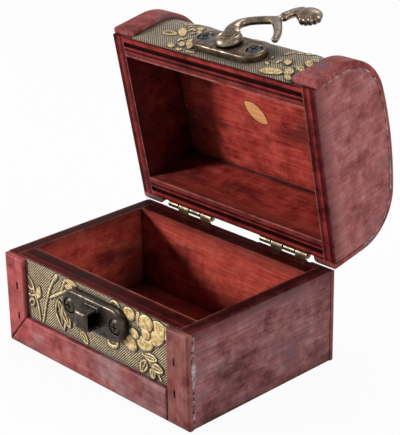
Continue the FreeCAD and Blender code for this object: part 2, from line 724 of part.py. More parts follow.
def screws(label, placement):
    """Two screws, drawn with the plate's seat at Z = 0 and their heads up."""
    group = []
    for index, place in enumerate(SCREW_PLACES):
        name = f"{label}_{index}"
        shank = primitive(
            "Cylinder", f"{name}_shank", at(place, "0", "-fabric_thick - screw_depth"),
            Radius="screw_radius", Height=f"screw_depth + fabric_thick + {SEAT} + screw_head_height / 2",
        )
        skirt = primitive(
            "Cylinder", f"{name}_skirt", at(place, "0", SEAT),
            Radius="screw_head_radius", Height="screw_head_height / 2",
        )
        crown = primitive(
            "Cone", f"{name}_crown", at(place, "0", f"{SEAT} + screw_head_height / 2"),
            Radius1="screw_head_radius", Radius2="screw_top_radius", Height="screw_head_height / 2",
        )
        slots = [
            primitive(
                "Box", f"{name}_slot",
                at(f"{place} - {x} / 2", f"-{y} / 2", f"{SEAT} + screw_head_height - cross_depth"),
                Length=x, Width=y, Height="cross_depth",
            )
            for x, y in (("cross_length", "cross_width"), ("cross_width", "cross_length"))
        ]
        blank = combine("MultiFuse", f"{name}_blank", Shapes=[shank, skirt, crown])
        cross = combine("MultiFuse", f"{name}_cross", Shapes=slots)
        group.append(combine("Cut", name, Base=blank, Tool=cross))
    new_node("Part::Compound", label, placement).Links = group


screws("hasp_screws", HASP_PLACE)
screws("catch_screws", CATCH_PLACE)

# Hook rivet: fixed in the hasp plate, with a low domed head over the eye's recess floor
HEAD_SEAT = "(plate_thick + eye_gap + eye_height - recess_margin - rivet_head_height + eye_gap)"
rivet_shank = primitive("Cylinder", "rivet_shank", at("0", "0", "0"), Radius="rivet_radius", Height=HEAD_SEAT)
rivet_head = primitive(
    "Cone", "rivet_head", at("0", "0", HEAD_SEAT),
    Radius1="rivet_head_radius", Radius2="rivet_top_radius", Height="rivet_head_height",
)
new_node("Part::MultiFuse", "hook_rivet", HASP_PLACE).Shapes = [rivet_shank, rivet_head]


# Hook: one casting, drawn latched with the rivet at the origin and the plate's face at Z = 0.
# The arm leaves the eye to the right and bends down to a fork; there the spur follows a circle about the
# rivet into the keeper, and the handle curls away to a scalloped knob.

SPUR_RADIUS = "(hasp_height + parting_gap + catch_drop)"
FORK = (f"({SPUR_RADIUS} * cos(spur_first))", f"({SPUR_RADIUS} * sin(spur_first))")
TIP = (f"({SPUR_RADIUS} * cos(spur_last))", f"({SPUR_RADIUS} * sin(spur_last))")
KNOB = (f"({FORK[0]} + knob_out)", f"({FORK[1]} - knob_down)")


def bent_rod(name, start, end, half_turn):
    """A round rod along the arc that turns right from start to end by twice half_turn."""
    run_x, run_y = f"({end[0]} - {start[0]})", f"({end[1]} - {start[1]})"
    centre_x = f"(({start[0]} + {end[0]}) / 2 + {run_y} / (2 * tan({half_turn})))"
    centre_y = f"(({start[1]} + {end[1]}) / 2 - {run_x} / (2 * tan({half_turn})))"
    first = f"atan2({end[1]} - {centre_y}; {end[0]} - {centre_x})"
    return primitive(
        "Torus", name, at(centre_x, centre_y, "rod_level", turn=first),
        Radius1=f"sqrt({run_x} ^ 2 + {run_y} ^ 2) / (2 * sin({half_turn}))", Radius2="rod_radius",
        Angle3=f"2 * {half_turn}",
    )


def ball(name, place, radius):
    return primitive("Sphere", name, at(place[0], place[1], "rod_level"), Radius=radius)


hook_solids = [
    primitive("Cylinder", "eye", at("0", "0", "eye_gap"), Radius="eye_radius", Height="eye_height - eye_bevel"),
    primitive(
        "Cone", "eye_top", at("0", "0", "eye_gap + eye_height - eye_bevel"),
        Radius1="eye_radius", Radius2="eye_radius - eye_bevel", Height="eye_bevel",
    ),
    bent_rod("arm", ("arm_start_out", "arm_start_up"), FORK, "arm_half_turn"),
    ball("fork_ball", FORK, "rod_ball"),
    primitive(
        "Torus", "spur", at("0", "0", "rod_level", turn="spur_last"),
        Radius1=SPUR_RADIUS, Radius2="rod_radius", Angle3="spur_first - spur_last",
    ),
    ball("tip_ball", TIP, "rod_ball"),
    bent_rod("handle", FORK, KNOB, "handle_half_turn"),
    primitive(
        "Ellipsoid", "knob", at(KNOB[0], KNOB[1], "rod_level", turn="knob_turn"),
        Radius1="knob_thick / 2", Radius2="knob_length / 2", Radius3="knob_width / 2",
    ),
]
for lobe in range(KNOB_LOBES):
    turn = f"(knob_turn - 90 + {lobe - (KNOB_LOBES - 1) / 2} * lobe_step)"
    lobe_place = (
        f"({KNOB[0]} + (knob_width / 2 - lobe_radius / 2) * cos({turn}))",
        f"({KNOB[1]} + (knob_width / 2 - lobe_radius / 2) * sin({turn}))",
    )
    hook_solids.append(ball(f"lobe_{lobe}", lobe_place, "lobe_radius"))
hook_bores = [
    primitive(
        "Cylinder", "eye_bore", at("0", "0", "0"), Radius="rivet_radius + eye_clearance", Height="2 * eye_height",
    ),
    primitive(
        "Cylinder", "eye_recess", at("0", "0", f"{HEAD_SEAT} - plate_thick - eye_gap"),
        Radius="rivet_head_radius + recess_margin", Height="2 * eye_height",
    ),
]
HOOK_FRAME = at("hasp_shift", f"-{PLATE_SEAT} - plate_thick", HASP_Z, **FACING_FRONT)
hook = new_node("Part::Cut", "swing_hook", f"{OPEN_LID} * {HOOK_FRAME} * {at('0', '0', '0', turn='hook_swing')}")
hook.Base = combine("MultiFuse", "hook_blank", Shapes=hook_solids)
hook.Tool = combine("MultiFuse", "hook_bores", Shapes=hook_bores)

# Check every object, then write each sub-part
doc.recompute()
for item in doc.Objects:
    if "Invalid" in item.State or "Error" in item.State:
        raise RuntimeError(f"{item.Label} failed: {item.State}")
for node in nodes:
    if node.Shape.isNull() or not node.Shape.isValid() or not node.Shape.Solids:
        raise RuntimeError(f"{node.Label} has no valid solid")
os.makedirs("parts", exist_ok=True)
for node in nodes:
    node.Shape.exportStep(f"parts/{node.Label}.step")
    print(f"{node.Label}: {len(node.Shape.Solids)} solids, {node.Shape.Volume:.1f} mm3")
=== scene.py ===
import json
import math
import random

import bpy
from mathutils import Matrix, Vector


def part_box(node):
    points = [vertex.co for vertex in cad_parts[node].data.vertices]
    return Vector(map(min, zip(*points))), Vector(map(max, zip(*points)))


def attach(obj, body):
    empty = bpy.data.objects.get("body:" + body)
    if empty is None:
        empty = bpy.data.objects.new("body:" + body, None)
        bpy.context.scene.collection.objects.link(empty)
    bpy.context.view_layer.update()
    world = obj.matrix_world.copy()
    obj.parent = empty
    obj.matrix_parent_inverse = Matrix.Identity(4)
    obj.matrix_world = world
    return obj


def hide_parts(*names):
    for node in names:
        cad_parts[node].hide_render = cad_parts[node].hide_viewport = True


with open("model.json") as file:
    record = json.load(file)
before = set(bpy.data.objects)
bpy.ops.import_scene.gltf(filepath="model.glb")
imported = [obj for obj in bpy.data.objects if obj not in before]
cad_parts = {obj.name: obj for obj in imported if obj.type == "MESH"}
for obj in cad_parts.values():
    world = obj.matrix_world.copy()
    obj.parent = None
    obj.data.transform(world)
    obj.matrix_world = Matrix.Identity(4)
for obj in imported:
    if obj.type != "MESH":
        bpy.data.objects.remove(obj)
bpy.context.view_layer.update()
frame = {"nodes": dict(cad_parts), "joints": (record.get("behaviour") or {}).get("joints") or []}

# Base boards: two sides run the full depth and hold the front, back and bottom boards between them.
# They are thin plywood, glued up, stained mahogany red by hand and waxed: clean red inside, clouded with
# plum and grey bloom outside, and showing their plies along the sawn rim.

MM = 0.001
CORE = -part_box("base_front_board")[0].y
BASE_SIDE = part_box("base_right_side")[1].x
joints = {joint["name"]: joint for joint in frame["joints"]}
hinge_point = Vector(joints["lid_hinge"]["pos_m"])
SHUT_TURN = math.radians(-joints["lid_hinge"]["range_deg"][0])
SHUT = Matrix.Translation(hinge_point) @ Matrix.Rotation(SHUT_TURN, 4, "X") @ Matrix.Translation(-hinge_point)


def linear(colour):
    """An sRGB hex colour as linear RGBA."""
    channels = [int(colour[start:start + 2], 16) / 255 for start in (0, 2, 4)]
    return [c / 12.92 if c <= 0.04045 else ((c + 0.055) / 1.055) ** 2.4 for c in channels] + [1.0]


def add_node(tree, kind, sockets=None, stops=None, **settings):
    """Adds a shader node with its settings, its sockets' values or links, and its ramp's stops as (place,
    sRGB hex). A node given for a socket stands for its first output in use."""
    node = tree.nodes.new("ShaderNode" + kind)
    for name, value in settings.items():
        setattr(node, name, value)
    for key, value in (sockets or {}).items():
        if isinstance(value, bpy.types.Node):
            value = next(output for output in value.outputs if output.enabled)
        if isinstance(value, bpy.types.NodeSocket):
            tree.links.new(value, node.inputs[key])
        else:
            node.inputs[key].default_value = value
    if stops:
        (start, colour), *others = stops
        elements = node.color_ramp.elements
        elements.remove(elements[1])
        elements[0].position = start
        elements[0].color = linear(colour)
        for place, colour in others:
            elements.new(place).color = linear(colour)
    return node


def new_material(name):
    material = bpy.data.materials.new(name)
    material.use_nodes = True
    material.node_tree.nodes.clear()
    return material, material.node_tree


def per_mm(size):
    """The texture scale at which one feature is this many millimetres wide."""
    return 1 / (size * MM)


def piece_space(tree, shut, kind="Object"):
    """A piece's own coordinates in metres, or its normal, with the lid's pieces turned shut."""
    own = add_node(tree, "TexCoord").outputs[kind]
    if not shut:
        return own
    turned = {"Vector": own, "Rotation": (SHUT_TURN, 0, 0)}
    if kind == "Normal":
        return add_node(tree, "Mapping", turned, vector_type="VECTOR")
    return add_node(tree, "Mapping", {**turned, "Location": SHUT.translation})


def streaks(tree, place, axis, across, along, detail, roughness):
    """Noise drawn out along an axis, with features this many millimetres across and along."""
    scale = [per_mm(across)] * 3
    scale[axis] = per_mm(along)
    drawn = add_node(tree, "Mapping", {"Vector": place, "Scale": scale})
    noise = {"Vector": drawn, "Scale": 1, "Detail": detail, "Roughness": roughness}
    return add_node(tree, "TexNoise", noise)


def in_corners(tree, colour, tint, reach, start, end, most, samples):
    """A colour that goes over to a tint within that many millimetres of other walls. start and end are the
    openness at which the tint begins and is at its most."""
    corner = add_node(tree, "AmbientOcclusion", {"Distance": reach * MM}, samples=samples).outputs["AO"]
    share = add_node(tree, "MapRange", {"Value": corner, 1: start, 2: end, 4: most})
    return add_node(tree, "Mix", {0: share, 6: colour, 7: linear(tint)}, data_type="RGBA")


def stained_ply(name, shut, grain, inside, outside, skin, rim=None, lined=0.42, blotch=0.7):
    """Stained and waxed plywood: a satin red whose grain shows through clouds of stain. grain is the axis
    along the grain; inside and outside are three colours each, from deep to pale; skin is the axis and the
    distance past which a face is an outside one; rim is the rim's level, the way it faces and its plies, with
    painted shade and highlight among them, as (mm inwards from there, colour); lined is the share of grain
    lines against clouds, and blotch the strength of smudges and bloom."""
    material, tree = new_material(name)
    place = piece_space(tree, shut)
    # Stain takes up unevenly in clouds of 6 mm, with dark smudges and grey bloom 12 mm across and twice as
    # long along the grain. Grain lines are 0.7 mm apart and run on for about 14 mm.
    cloud = add_node(tree, "TexNoise", {"Vector": place, "Scale": per_mm(6), "Detail": 8, "Roughness": 0.7})
    patch = streaks(tree, place, grain, 12, 24, 5, 0.62)
    lines = streaks(tree, place, grain, 0.7, 14, 4, 0.66)
    shade = add_node(tree, "Mix", {0: lined, 2: cloud, 3: lines})
    inner, outer = [
        add_node(tree, "ValToRGB", {0: shade}, zip((0.36, 0.5, 0.64), colours))
        for colours in (inside, outside)
    ]
    axes = add_node(tree, "SeparateXYZ", {0: place})
    axis, distance = skin
    from_middle = add_node(tree, "Math", {0: axes.outputs[axis]}, operation="ABSOLUTE")
    is_skin = add_node(tree, "MapRange", {"Value": from_middle, 1: distance - 0.4 * MM, 2: distance})
    colour = add_node(tree, "Mix", {0: is_skin, 6: inner, 7: outer}, data_type="RGBA")
    smudge = add_node(tree, "MapRange", {"Value": patch, 1: 0.51, 2: 0.34, 4: blotch})
    colour = add_node(tree, "Mix", {0: smudge, 6: colour, 7: linear(SMUDGE)}, data_type="RGBA")
    # Grey bloom, where filler and dust took the stain, lies on the outside only.
    bloom = add_node(tree, "MapRange", {"Value": patch, 1: 0.5, 2: 0.64, 4: blotch})
    on_skin = add_node(tree, "Math", {0: bloom, 1: is_skin}, operation="MULTIPLY")
    colour = add_node(tree, "Mix", {0: on_skin, 6: colour, 7: linear(BLOOM)}, data_type="RGBA")
    if rim:
        level, up, plies_and_light = rim
        # Hands leave a dark, uneven edge up to 8 mm wide below the rim.
        apart = add_node(tree, "Math", {0: axes.outputs[2], 1: level}, operation="SUBTRACT")
        apart = add_node(tree, "Math", {0: apart}, operation="ABSOLUTE")
        ragged = add_node(tree, "MapRange", {"Value": cloud, 1: 0.35, 2: 0.65, 3: 2 * MM, 4: 8 * MM})
        soil = add_node(tree, "MapRange", {"Value": apart, 1: ragged, 2: 0.0, 4: 0.6})
        colour = add_node(tree, "Mix", {0: soil, 6: colour, 7: linear(SMUDGE)}, data_type="RGBA")
        span = plies_and_light[-1][0] * MM
        ply = add_node(tree, "MapRange", {"Value": from_middle, 1: distance, 2: distance - span})
        stops = [(inwards * MM / span, tint) for inwards, tint in plies_and_light]
        rim_tone = add_node(tree, "ValToRGB", {0: ply}, stops)
        streak = add_node(tree, "ValToRGB", {0: shade}, [(0.38, "7c7c7c"), (0.6, "ffffff")])
        streaked = {0: 1.0, 6: rim_tone, 7: streak}
        rim_tone = add_node(tree, "Mix", streaked, data_type="RGBA", blend_type="MULTIPLY")
        upward = add_node(tree, "SeparateXYZ", {0: piece_space(tree, shut, "Normal")}).outputs[2]
        flat = add_node(tree, "MapRange", {"Value": upward, 1: 0.6 * up, 2: 0.9 * up})
        at_level = add_node(tree, "MapRange", {"Value": apart, 1: 1.2 * MM, 2: 1.0 * MM})
        is_rim = add_node(tree, "Math", {0: flat, 1: at_level}, operation="MULTIPLY")
        colour = add_node(tree, "Mix", {0: is_rim, 6: colour, 7: rim_tone}, data_type="RGBA")
    # Stain pools within 3 mm of a corner and leaves it dark, which also paints shade into the corners. Within
    # about 26 mm of two other walls the colour darkens further: painted shade deep inside the base and the
    # lid.
    colour = in_corners(tree, colour, POOLED_STAIN_AND_SHADE, 3, 0.75, 0.3, 0.75, 8)
    colour = in_corners(tree, colour, POOLED_STAIN_AND_SHADE, 26, 0.6, 0.27, 0.9, 8)
    rough = add_node(tree, "MapRange", {"Value": cloud, 1: 0.3, 2: 0.7, 3: 0.32, 4: 0.56})
    bump = add_node(tree, "Bump", {"Height": shade, "Strength": 0.4, "Distance": 0.14 * MM})
    shader = add_node(tree, "BsdfPrincipled", {
        "Base Color": colour, "Roughness": rough, "Normal": bump, "Specular IOR Level": 0.02,
    })
    add_node(tree, "OutputMaterial", {0: shader})
    return material


def finish(material, *nodes):
    """Gives CAD nodes a material."""
    for node in nodes:
        mesh = frame["nodes"][node].data
        mesh.materials.clear()
        mesh.materials.append(material)


# The last of these is the dark of stain pooled in corners and of painted shade deep inside.
SMUDGE, BLOOM, POOLED_STAIN_AND_SHADE = "3a1a1a", "705a5e", "150605"
BASE_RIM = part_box("base_front_board")[1].z
INSIDE_RED = ("782923", "ac4439", "c26250")
OUTSIDE_PLUM = ("603739", "8e5a5a", "aa7e7d")
# Rim colours by mm inwards. The pale last stops of each table are a painted highlight along the inner edge.
FRONT_PLIES_AND_EDGE_LIGHT = (
    (0, "8c3029"), (0.5, "7c2622"), (0.8, "4a1311"), (2.6, "661f1b"), (3.2, "380c0b"), (5.6, "44100e"),
    (6.6, "5e1a17"), (7.0, "9c5044"), (7.4, "b47262"),
)
SIDE_PLIES_AND_EDGE_LIGHT = (
    (0, "3c1a1b"), (0.6, "6a2c2c"), (2.2, "4a1c1b"), (3.8, "421817"), (4.7, "5a2422"), (5.2, "9a5a4e"),
)
finish(
    stained_ply(
        "stained_ply_walls", False, 0, INSIDE_RED, OUTSIDE_PLUM, (1, CORE),
        (BASE_RIM, 1, FRONT_PLIES_AND_EDGE_LIGHT),
    ),
    "base_front_board", "base_back_board", "base_bottom_board",
)
finish(
    stained_ply(
        "stained_ply_sides", False, 1, INSIDE_RED, OUTSIDE_PLUM, (0, BASE_SIDE),
        (BASE_RIM, 1, SIDE_PLIES_AND_EDGE_LIGHT), lined=0.34,
    ),
    "base_left_side", "base_right_side",
)


# Frame strips: solid wood mouldings with rounded edges, glued on the front and back, with brads in the
# front posts. The same red stain lies on them: rose at the left, greyer along the rails towards the right
# and red-brown on the right posts.

STRIP_TONES = ("722e2e", "9e4746", "b4625e")
DULL_TONES = ("523234", "835453", "9e7775")
KNOTTY_TONES = ("47221f", "78423d", "925e57")


def stained_strip(name, grain, right_tones):
    """Stained solid wood: a satin rose with straight grain, which goes over to other tones at the right."""
    material, tree = new_material(name)
    place = piece_space(tree, False)
    cloud = add_node(tree, "TexNoise", {"Vector": place, "Scale": per_mm(6), "Detail": 6, "Roughness": 0.68})
    patch = add_node(tree, "TexNoise", {"Vector": place, "Scale": per_mm(12), "Detail": 3, "Roughness": 0.6})
    # Straight grain, 0.6 mm apart and 20 mm long.
    lines = streaks(tree, place, grain, 0.6, 20, 3, 0.6)
    shade = add_node(tree, "Mix", {0: 0.3, 2: cloud, 3: lines})
    rose, dull = [
        add_node(tree, "ValToRGB", {0: shade}, zip((0.36, 0.5, 0.66), tones))
        for tones in (STRIP_TONES, right_tones)
    ]
    across = add_node(tree, "SeparateXYZ", {0: place})
    to_right = add_node(tree, "MapRange", {"Value": across, 1: -BASE_SIDE, 2: BASE_SIDE * 0.8})
    uneven = add_node(tree, "MapRange", {"Value": patch, 1: 0.34, 2: 0.66, 3: -0.5, 4: 0.5})
    dulled = add_node(tree, "Math", {0: to_right, 1: uneven}, operation="ADD", use_clamp=True)
    colour = add_node(tree, "Mix", {0: dulled, 6: rose, 7: dull}, data_type="RGBA")
    smudge = add_node(tree, "MapRange", {"Value": patch, 1: 0.46, 2: 0.3, 4: 0.5})
    colour = add_node(tree, "Mix", {0: smudge, 6: colour, 7: linear(SMUDGE)}, data_type="RGBA")
    # Within 2 mm of other parts the colour darkens: stain pooled there, and painted shade along the strips'
    # edges.
    colour = in_corners(tree, colour, POOLED_STAIN_AND_SHADE, 2, 0.8, 0.4, 0.7, 6)
    rough = add_node(tree, "MapRange", {"Value": cloud, 1: 0.3, 2: 0.7, 3: 0.3, 4: 0.52})
    bump = add_node(tree, "Bump", {"Height": shade, "Strength": 0.3, "Distance": 0.12 * MM})
    shader = add_node(tree, "BsdfPrincipled", {
        "Base Color": colour, "Roughness": rough, "Normal": bump, "Specular IOR Level": 0.1,
    })
    add_node(tree, "OutputMaterial", {0: shader})
    return material


finish(
    stained_strip("stained_strip_upright", 2, KNOTTY_TONES),
    "front_left_post", "front_right_post", "back_left_post", "back_right_post", "front_frame_brads",
)
finish(stained_strip("stained_strip_level", 0, DULL_TONES), "front_bottom_rail", "back_bottom_rail")


# Joint filler: a thin bead of grey wood filler in the seams between the front posts and the side boards,
# wiped in by hand, stained over in places, chalky and cracked where it has dried.

def mesh_object(name, vertices, faces, material):
    mesh = bpy.data.meshes.new(name)
    mesh.from_pydata([tuple(v) for v in vertices], [], faces)
    mesh.update()
    for polygon in mesh.polygons:
        polygon.use_smooth = True
    mesh.materials.append(material)
    piece = bpy.data.objects.new(name, mesh)
    bpy.context.scene.collection.objects.link(piece)
    return piece


def tube(path, sizes, out, sides):
    """A closed tube through points in space. sizes are its half width and half height at each point, and out
    is the way its height points."""
    points, faces = [], []
    last = len(path) - 1
    for index, (point, (half_width, half_height)) in enumerate(zip(path, sizes)):
        run = path[min(index + 1, last)] - path[max(index - 1, 0)]
        side = run.cross(out).normalized()
        for step in range(sides):
            angle = 2 * math.pi * step / sides
            points.append(point + side * half_width * math.cos(angle) + out * half_height * math.sin(angle))
    for ring in range(last):
        for step in range(sides):
            after = (step + 1) % sides
            low, high = ring * sides, (ring + 1) * sides
            faces.append((low + after, low + step, high + step, high + after))
    faces.append(tuple(range(sides)))
    faces.append(tuple(last * sides + step for step in reversed(range(sides))))
    return points, faces


def joined(shells):
    """Several shells as one mesh."""
    vertices, faces = [], []
    for points, shell_faces in shells:
        start = len(vertices)
        vertices += points
        faces += [tuple(start + index for index in face) for face in shell_faces]
    return vertices, faces


SWELL_STEPS = 4
BEAD_HEIGHT, BEAD_SWELL = 0.08, 0.16


def bead(path, out, seed, narrow, broad):
    """A hand-wiped bead along a seam, thick and thin by turns, between two half widths in millimetres."""
    hand = random.Random(seed)
    turns = [hand.random() for _ in range(len(path) // SWELL_STEPS + 2)]
    sizes = []
    for index in range(len(path)):
        turn = index // SWELL_STEPS
        share = index % SWELL_STEPS / SWELL_STEPS
        swell = turns[turn] * (1 - share) + turns[turn + 1] * share
        sizes.append(((narrow + (broad - narrow) * swell) * MM, (BEAD_HEIGHT + BEAD_SWELL * swell) * MM))
    return tube(path, sizes, out, 8)


def dried_filler():
    """Chalky filler: pale grey where it is bare, plum where the stain took, dark in its cracks."""
    material, tree = new_material("dried_wood_filler")
    place = piece_space(tree, False)
    chalk = add_node(tree, "TexNoise", {"Vector": place, "Scale": per_mm(2.2), "Detail": 5, "Roughness": 0.7})
    stops = [(0.36, "2c1517"), (0.43, "6c3f42"), (0.52, "947c7d"), (0.64, "bcb2b0")]
    colour = add_node(tree, "ValToRGB", {0: chalk}, stops)
    bump = add_node(tree, "Bump", {"Height": chalk, "Strength": 0.5, "Distance": 0.15 * MM})
    shader = add_node(tree, "BsdfPrincipled", {
        "Base Color": colour, "Roughness": 0.8, "Normal": bump, "Specular IOR Level": 0.2,
    })
    add_node(tree, "OutputMaterial", {0: shader})
    return material


filler = dried_filler()
POST_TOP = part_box("front_right_post")[1].z
seams = []
SEAM_END, SEAM_INSET, SEAM_STEPS = 1 * MM, 0.3 * MM, 40
for sign in (-1, 1):
    levels = [SEAM_END + (POST_TOP - 2 * SEAM_END) * step / SEAM_STEPS for step in range(SEAM_STEPS + 1)]
    path = [Vector((sign * BASE_SIDE, SEAM_INSET - CORE, z)) for z in levels]
    seams.append(bead(path, Vector((sign, 0, 0)), 3 + sign, 0.35, 1.1))
base_filler = mesh_object("base_seam_filler", *joined(seams), filler)
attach(base_filler, "base")


# Front brocade: a strip of woven cloth glued inside the frame, diagonal twill of beige on dark brown with
# leaves and a peony in raised gold thread.

FABRIC_LIFT = 0.4 * MM
CLOTH_THICK = FABRIC_LIFT * 0.8
RIPPLE = 0.03 * MM


def ribs(tree, place, run, pitch, fray, detail, looseness):
    """Threads side by side as a wave. run is the direction across them and pitch the millimetres from one to
    the next; noise of fray millimetres makes them uneven by looseness."""
    step = Vector(run).normalized() * (2 * math.pi / (pitch * MM))
    phase = add_node(tree, "VectorMath", {0: place, 1: step}, operation="DOT_PRODUCT")
    wave = add_node(tree, "Math", {0: phase}, operation="SINE")
    frayed = add_node(tree, "TexNoise", {"Vector": place, "Scale": per_mm(fray), "Detail": detail})
    loose = add_node(tree, "MapRange", {"Value": frayed, 1: 0.3, 2: 0.7, 3: -looseness, 4: looseness})
    return add_node(tree, "Math", {0: wave, 1: loose}, operation="ADD")


def brocade_ground(name, shut, run, pitch, tones):
    """The woven ground: matt ribs of beige over dark gaps, with a little sheen. run is the direction across
    its ribs and pitch the millimetres between them: the real ones are about 0.4 mm apart and are drawn wider,
    so that they show. tones go from the gaps up."""
    material, tree = new_material(name)
    place = piece_space(tree, shut)
    thread = ribs(tree, place, run, pitch, 0.8, 2, 0.5)
    worn = add_node(tree, "TexNoise", {"Vector": place, "Scale": per_mm(9), "Detail": 3})
    lit = add_node(tree, "MapRange", {"Value": thread, 1: -0.8, 2: 0.9})
    stops = zip((0.0, 0.45, 0.75, 1.0), tones)
    colour = add_node(tree, "ValToRGB", {0: lit}, stops)
    soil = add_node(tree, "ValToRGB", {0: worn}, [(0.3, "c8c0b4"), (0.65, "ffffff")])
    soiled = {0: 1.0, 6: colour, 7: soil}
    colour = add_node(tree, "Mix", soiled, data_type="RGBA", blend_type="MULTIPLY")
    # Polish and dirt, and painted shade, darken the threads within about 6 mm of the latch and the frame.
    colour = in_corners(tree, colour, "2a1e16", 6, 0.94, 0.6, 0.56, 8)
    bump = add_node(tree, "Bump", {"Height": lit, "Strength": 0.6, "Distance": 0.1 * MM})
    shader = add_node(tree, "BsdfPrincipled", {
        "Base Color": colour, "Roughness": 0.7, "Normal": bump, "Sheen Weight": 0.25, "Sheen Roughness": 0.4,
    })
    add_node(tree, "OutputMaterial", {0: shader})
    return material


def grid_faces(columns, rows):
    """Faces of a grid of points stored row by row."""
    return [
        (r * columns + c, r * columns + c + 1, (r + 1) * columns + c + 1, (r + 1) * columns + c)
        for r in range(rows - 1)
        for c in range(columns - 1)
    ]


def thicken(piece, thickness):
    """Gives a sheet its thickness, inwards."""
    shell = piece.modifiers.new("thickness", "SOLIDIFY")
    shell.thickness = thickness
    shell.offset = -1


def cloth(name, place, width, length, columns, rows, material):
    """A glued cloth: a grid of points over its flat cut, slightly uneven, laid by place(x, s, lift)."""
    ripple = random.Random(11)
    points = [
        place((c / (columns - 1) - 0.5) * width, r / (rows - 1) * length, ripple.uniform(-RIPPLE, 0.0))
        for r in range(rows)
        for c in range(columns)
    ]
    piece = mesh_object(name, points, grid_faces(columns, rows), material)
    thicken(piece, CLOTH_THICK)
    return piece


front_low, front_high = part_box("front_fabric")
front_width, front_length = front_high.x - front_low.x, front_high.z - front_low.z


def on_front(x, s, lift):
    """A place on the front cloth: across, up from its lower edge, and out from it."""
    return Vector((x, front_low.y - lift, front_low.z + s))


front_cloth = cloth(
    "front_brocade", on_front, front_width, front_length, 72, 23,
    brocade_ground("woven_twill", False, (1, 0, -1), 0.66, ("1d1610", "544330", "a08864", "dcc698")),
)
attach(front_cloth, "base")
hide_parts("front_fabric")


class Drawing:
    """Woven figures on a cloth: shapes in millimetres across and up, in raised gold, each over a dark
    outline that covers what was drawn before it. A new figure starts at the cloth again."""

    OUTLINE = 0.46
    FIRST, STEP, SWELL = 0.05, 0.03, 0.07
    THREAD, THREAD_STEPS, TAPER = 0.08, 8, 0.5
    PETALS = 5

    def __init__(self):
        self.shapes = {"gold": [], "outline": []}
        self.figure()

    def figure(self):
        self.level = self.FIRST

    def add(self, suffix, points, faces):
        """Keeps a shape whose points are (across, up, swell), at the next level."""
        self.shapes[suffix].append(([(x, y, self.level + z) for x, y, z in points], faces))
        self.level += self.STEP / 2

    def stroke(self, points, width):
        """A line of thread through a few points, thinner towards its ends."""
        line = spline_through(points, self.THREAD_STEPS)
        for suffix, extra, swell in (("outline", self.OUTLINE, 0), ("gold", 0, self.SWELL)):
            rows = []
            for index, point in enumerate(line):
                before, after = line[max(index - 1, 0)], line[min(index + 1, len(line) - 1)]
                run = (after - before).normalized()
                share = index / (len(line) - 1)
                fullness = math.sin(math.pi * share) ** 0.5
                half = width / 2 * (self.TAPER + (1 - self.TAPER) * fullness) + extra
                for side, lift in ((-half, 0), (0, swell), (half, 0)):
                    rows.append((point.x - run.y * side, point.y + run.x * side, lift))
            self.add(suffix, rows, grid_faces(3, len(line)))

    def petal(self, outline):
        """A filled shape, padded towards its middle, with a dark line round it."""
        rim = spline_through(outline + outline[:1], 5)[:-1]
        centre = sum(rim, Vector((0, 0))) / len(rim)
        count = len(rim)
        for suffix, grow, swell in (("outline", self.OUTLINE, 0), ("gold", 0, self.SWELL)):
            points = [(centre.x, centre.y, swell)]
            faces = []
            for share, lift in ((0.45, swell), (0.8, swell * 0.8), (1.0, 0)):
                for spoke in (point - centre for point in rim):
                    reach = spoke * share + spoke.normalized() * grow * share
                    points.append((centre.x + reach.x, centre.y + reach.y, lift))
            for index in range(count):
                after = (index + 1) % count
                faces.append((0, 1 + index, 1 + after))
                for ring in (1, 1 + count):
                    faces.append((ring + index, ring + count + index, ring + count + after, ring + after))
            self.add(suffix, points, faces)

    def leaf(self, foot, tip, width, filled=False):
        """A pointed leaf: an outline and a vein of gold thread, or a filled blade with a dark vein."""
        foot, tip = Vector(foot), Vector(tip)
        run = tip - foot
        side = Vector((-run.y, run.x)).normalized() * width / 2
        left = [foot, foot + run * 0.35 + side, foot + run * 0.75 + side * 0.7, tip]
        right = [foot, foot + run * 0.35 - side, foot + run * 0.75 - side * 0.7, tip]
        if filled:
            self.petal([tuple(point) for point in left + right[2:0:-1]])
        else:
            self.stroke(left, 0.75)
            self.stroke(right, 0.75)
            self.stroke([foot, foot + run * 0.45 + side * 0.1, foot + run * 0.8], 0.5)

    def blossom(self, centre, size, turn):
        """A small open flower of rounded petals round a raised eye."""
        centre = Vector(centre)
        for index in range(self.PETALS):
            angle = turn + index * 2 * math.pi / self.PETALS
            out = Vector((math.cos(angle), math.sin(angle)))
            side = Vector((-out.y, out.x))
            self.petal([
                tuple(centre + out * size * a + side * size * b)
                for a, b in ((0.25, 0), (0.55, 0.34), (0.9, 0.28), (1.0, 0), (0.9, -0.28), (0.55, -0.34))
            ])
        ways = [Vector((math.cos(angle), math.sin(angle))) for angle in (0.3, 1.9, 3.4, 5.0)]
        self.petal([tuple(centre + way * size * 0.2) for way in ways])
        self.figure()

    def build(self, name, place, gold, dark):
        """Two pieces on a cloth, laid by place(x, s, lift): the gold threads and their dark outlines."""
        pieces = []
        for suffix, material in (("gold", gold), ("outline", dark)):
            shells = [
                ([place(x * MM, y * MM, z * MM) for x, y, z in points], faces)
                for points, faces in self.shapes[suffix]
            ]
            piece = mesh_object(f"{name}_{suffix}", *joined(shells), material)
            thicken(piece, self.THREAD * MM)
            pieces.append(piece)
        return pieces


def spline_through(points, count):
    """A smooth line through 2-D points, with count steps between each two."""
    knots = [Vector(point) for point in points]
    line = []
    for index in range(len(knots) - 1):
        before = knots[max(index - 1, 0)]
        start, end = knots[index], knots[index + 1]
        after = knots[min(index + 2, len(knots) - 1)]
        for step in range(count):
            t = step / count
            line.append(0.5 * (
                2 * start + (end - before) * t + (2 * before - 5 * start + 4 * end - after) * t ** 2
                + (3 * start - before - 3 * end + after) * t ** 3
            ))
    return line + [knots[-1]]


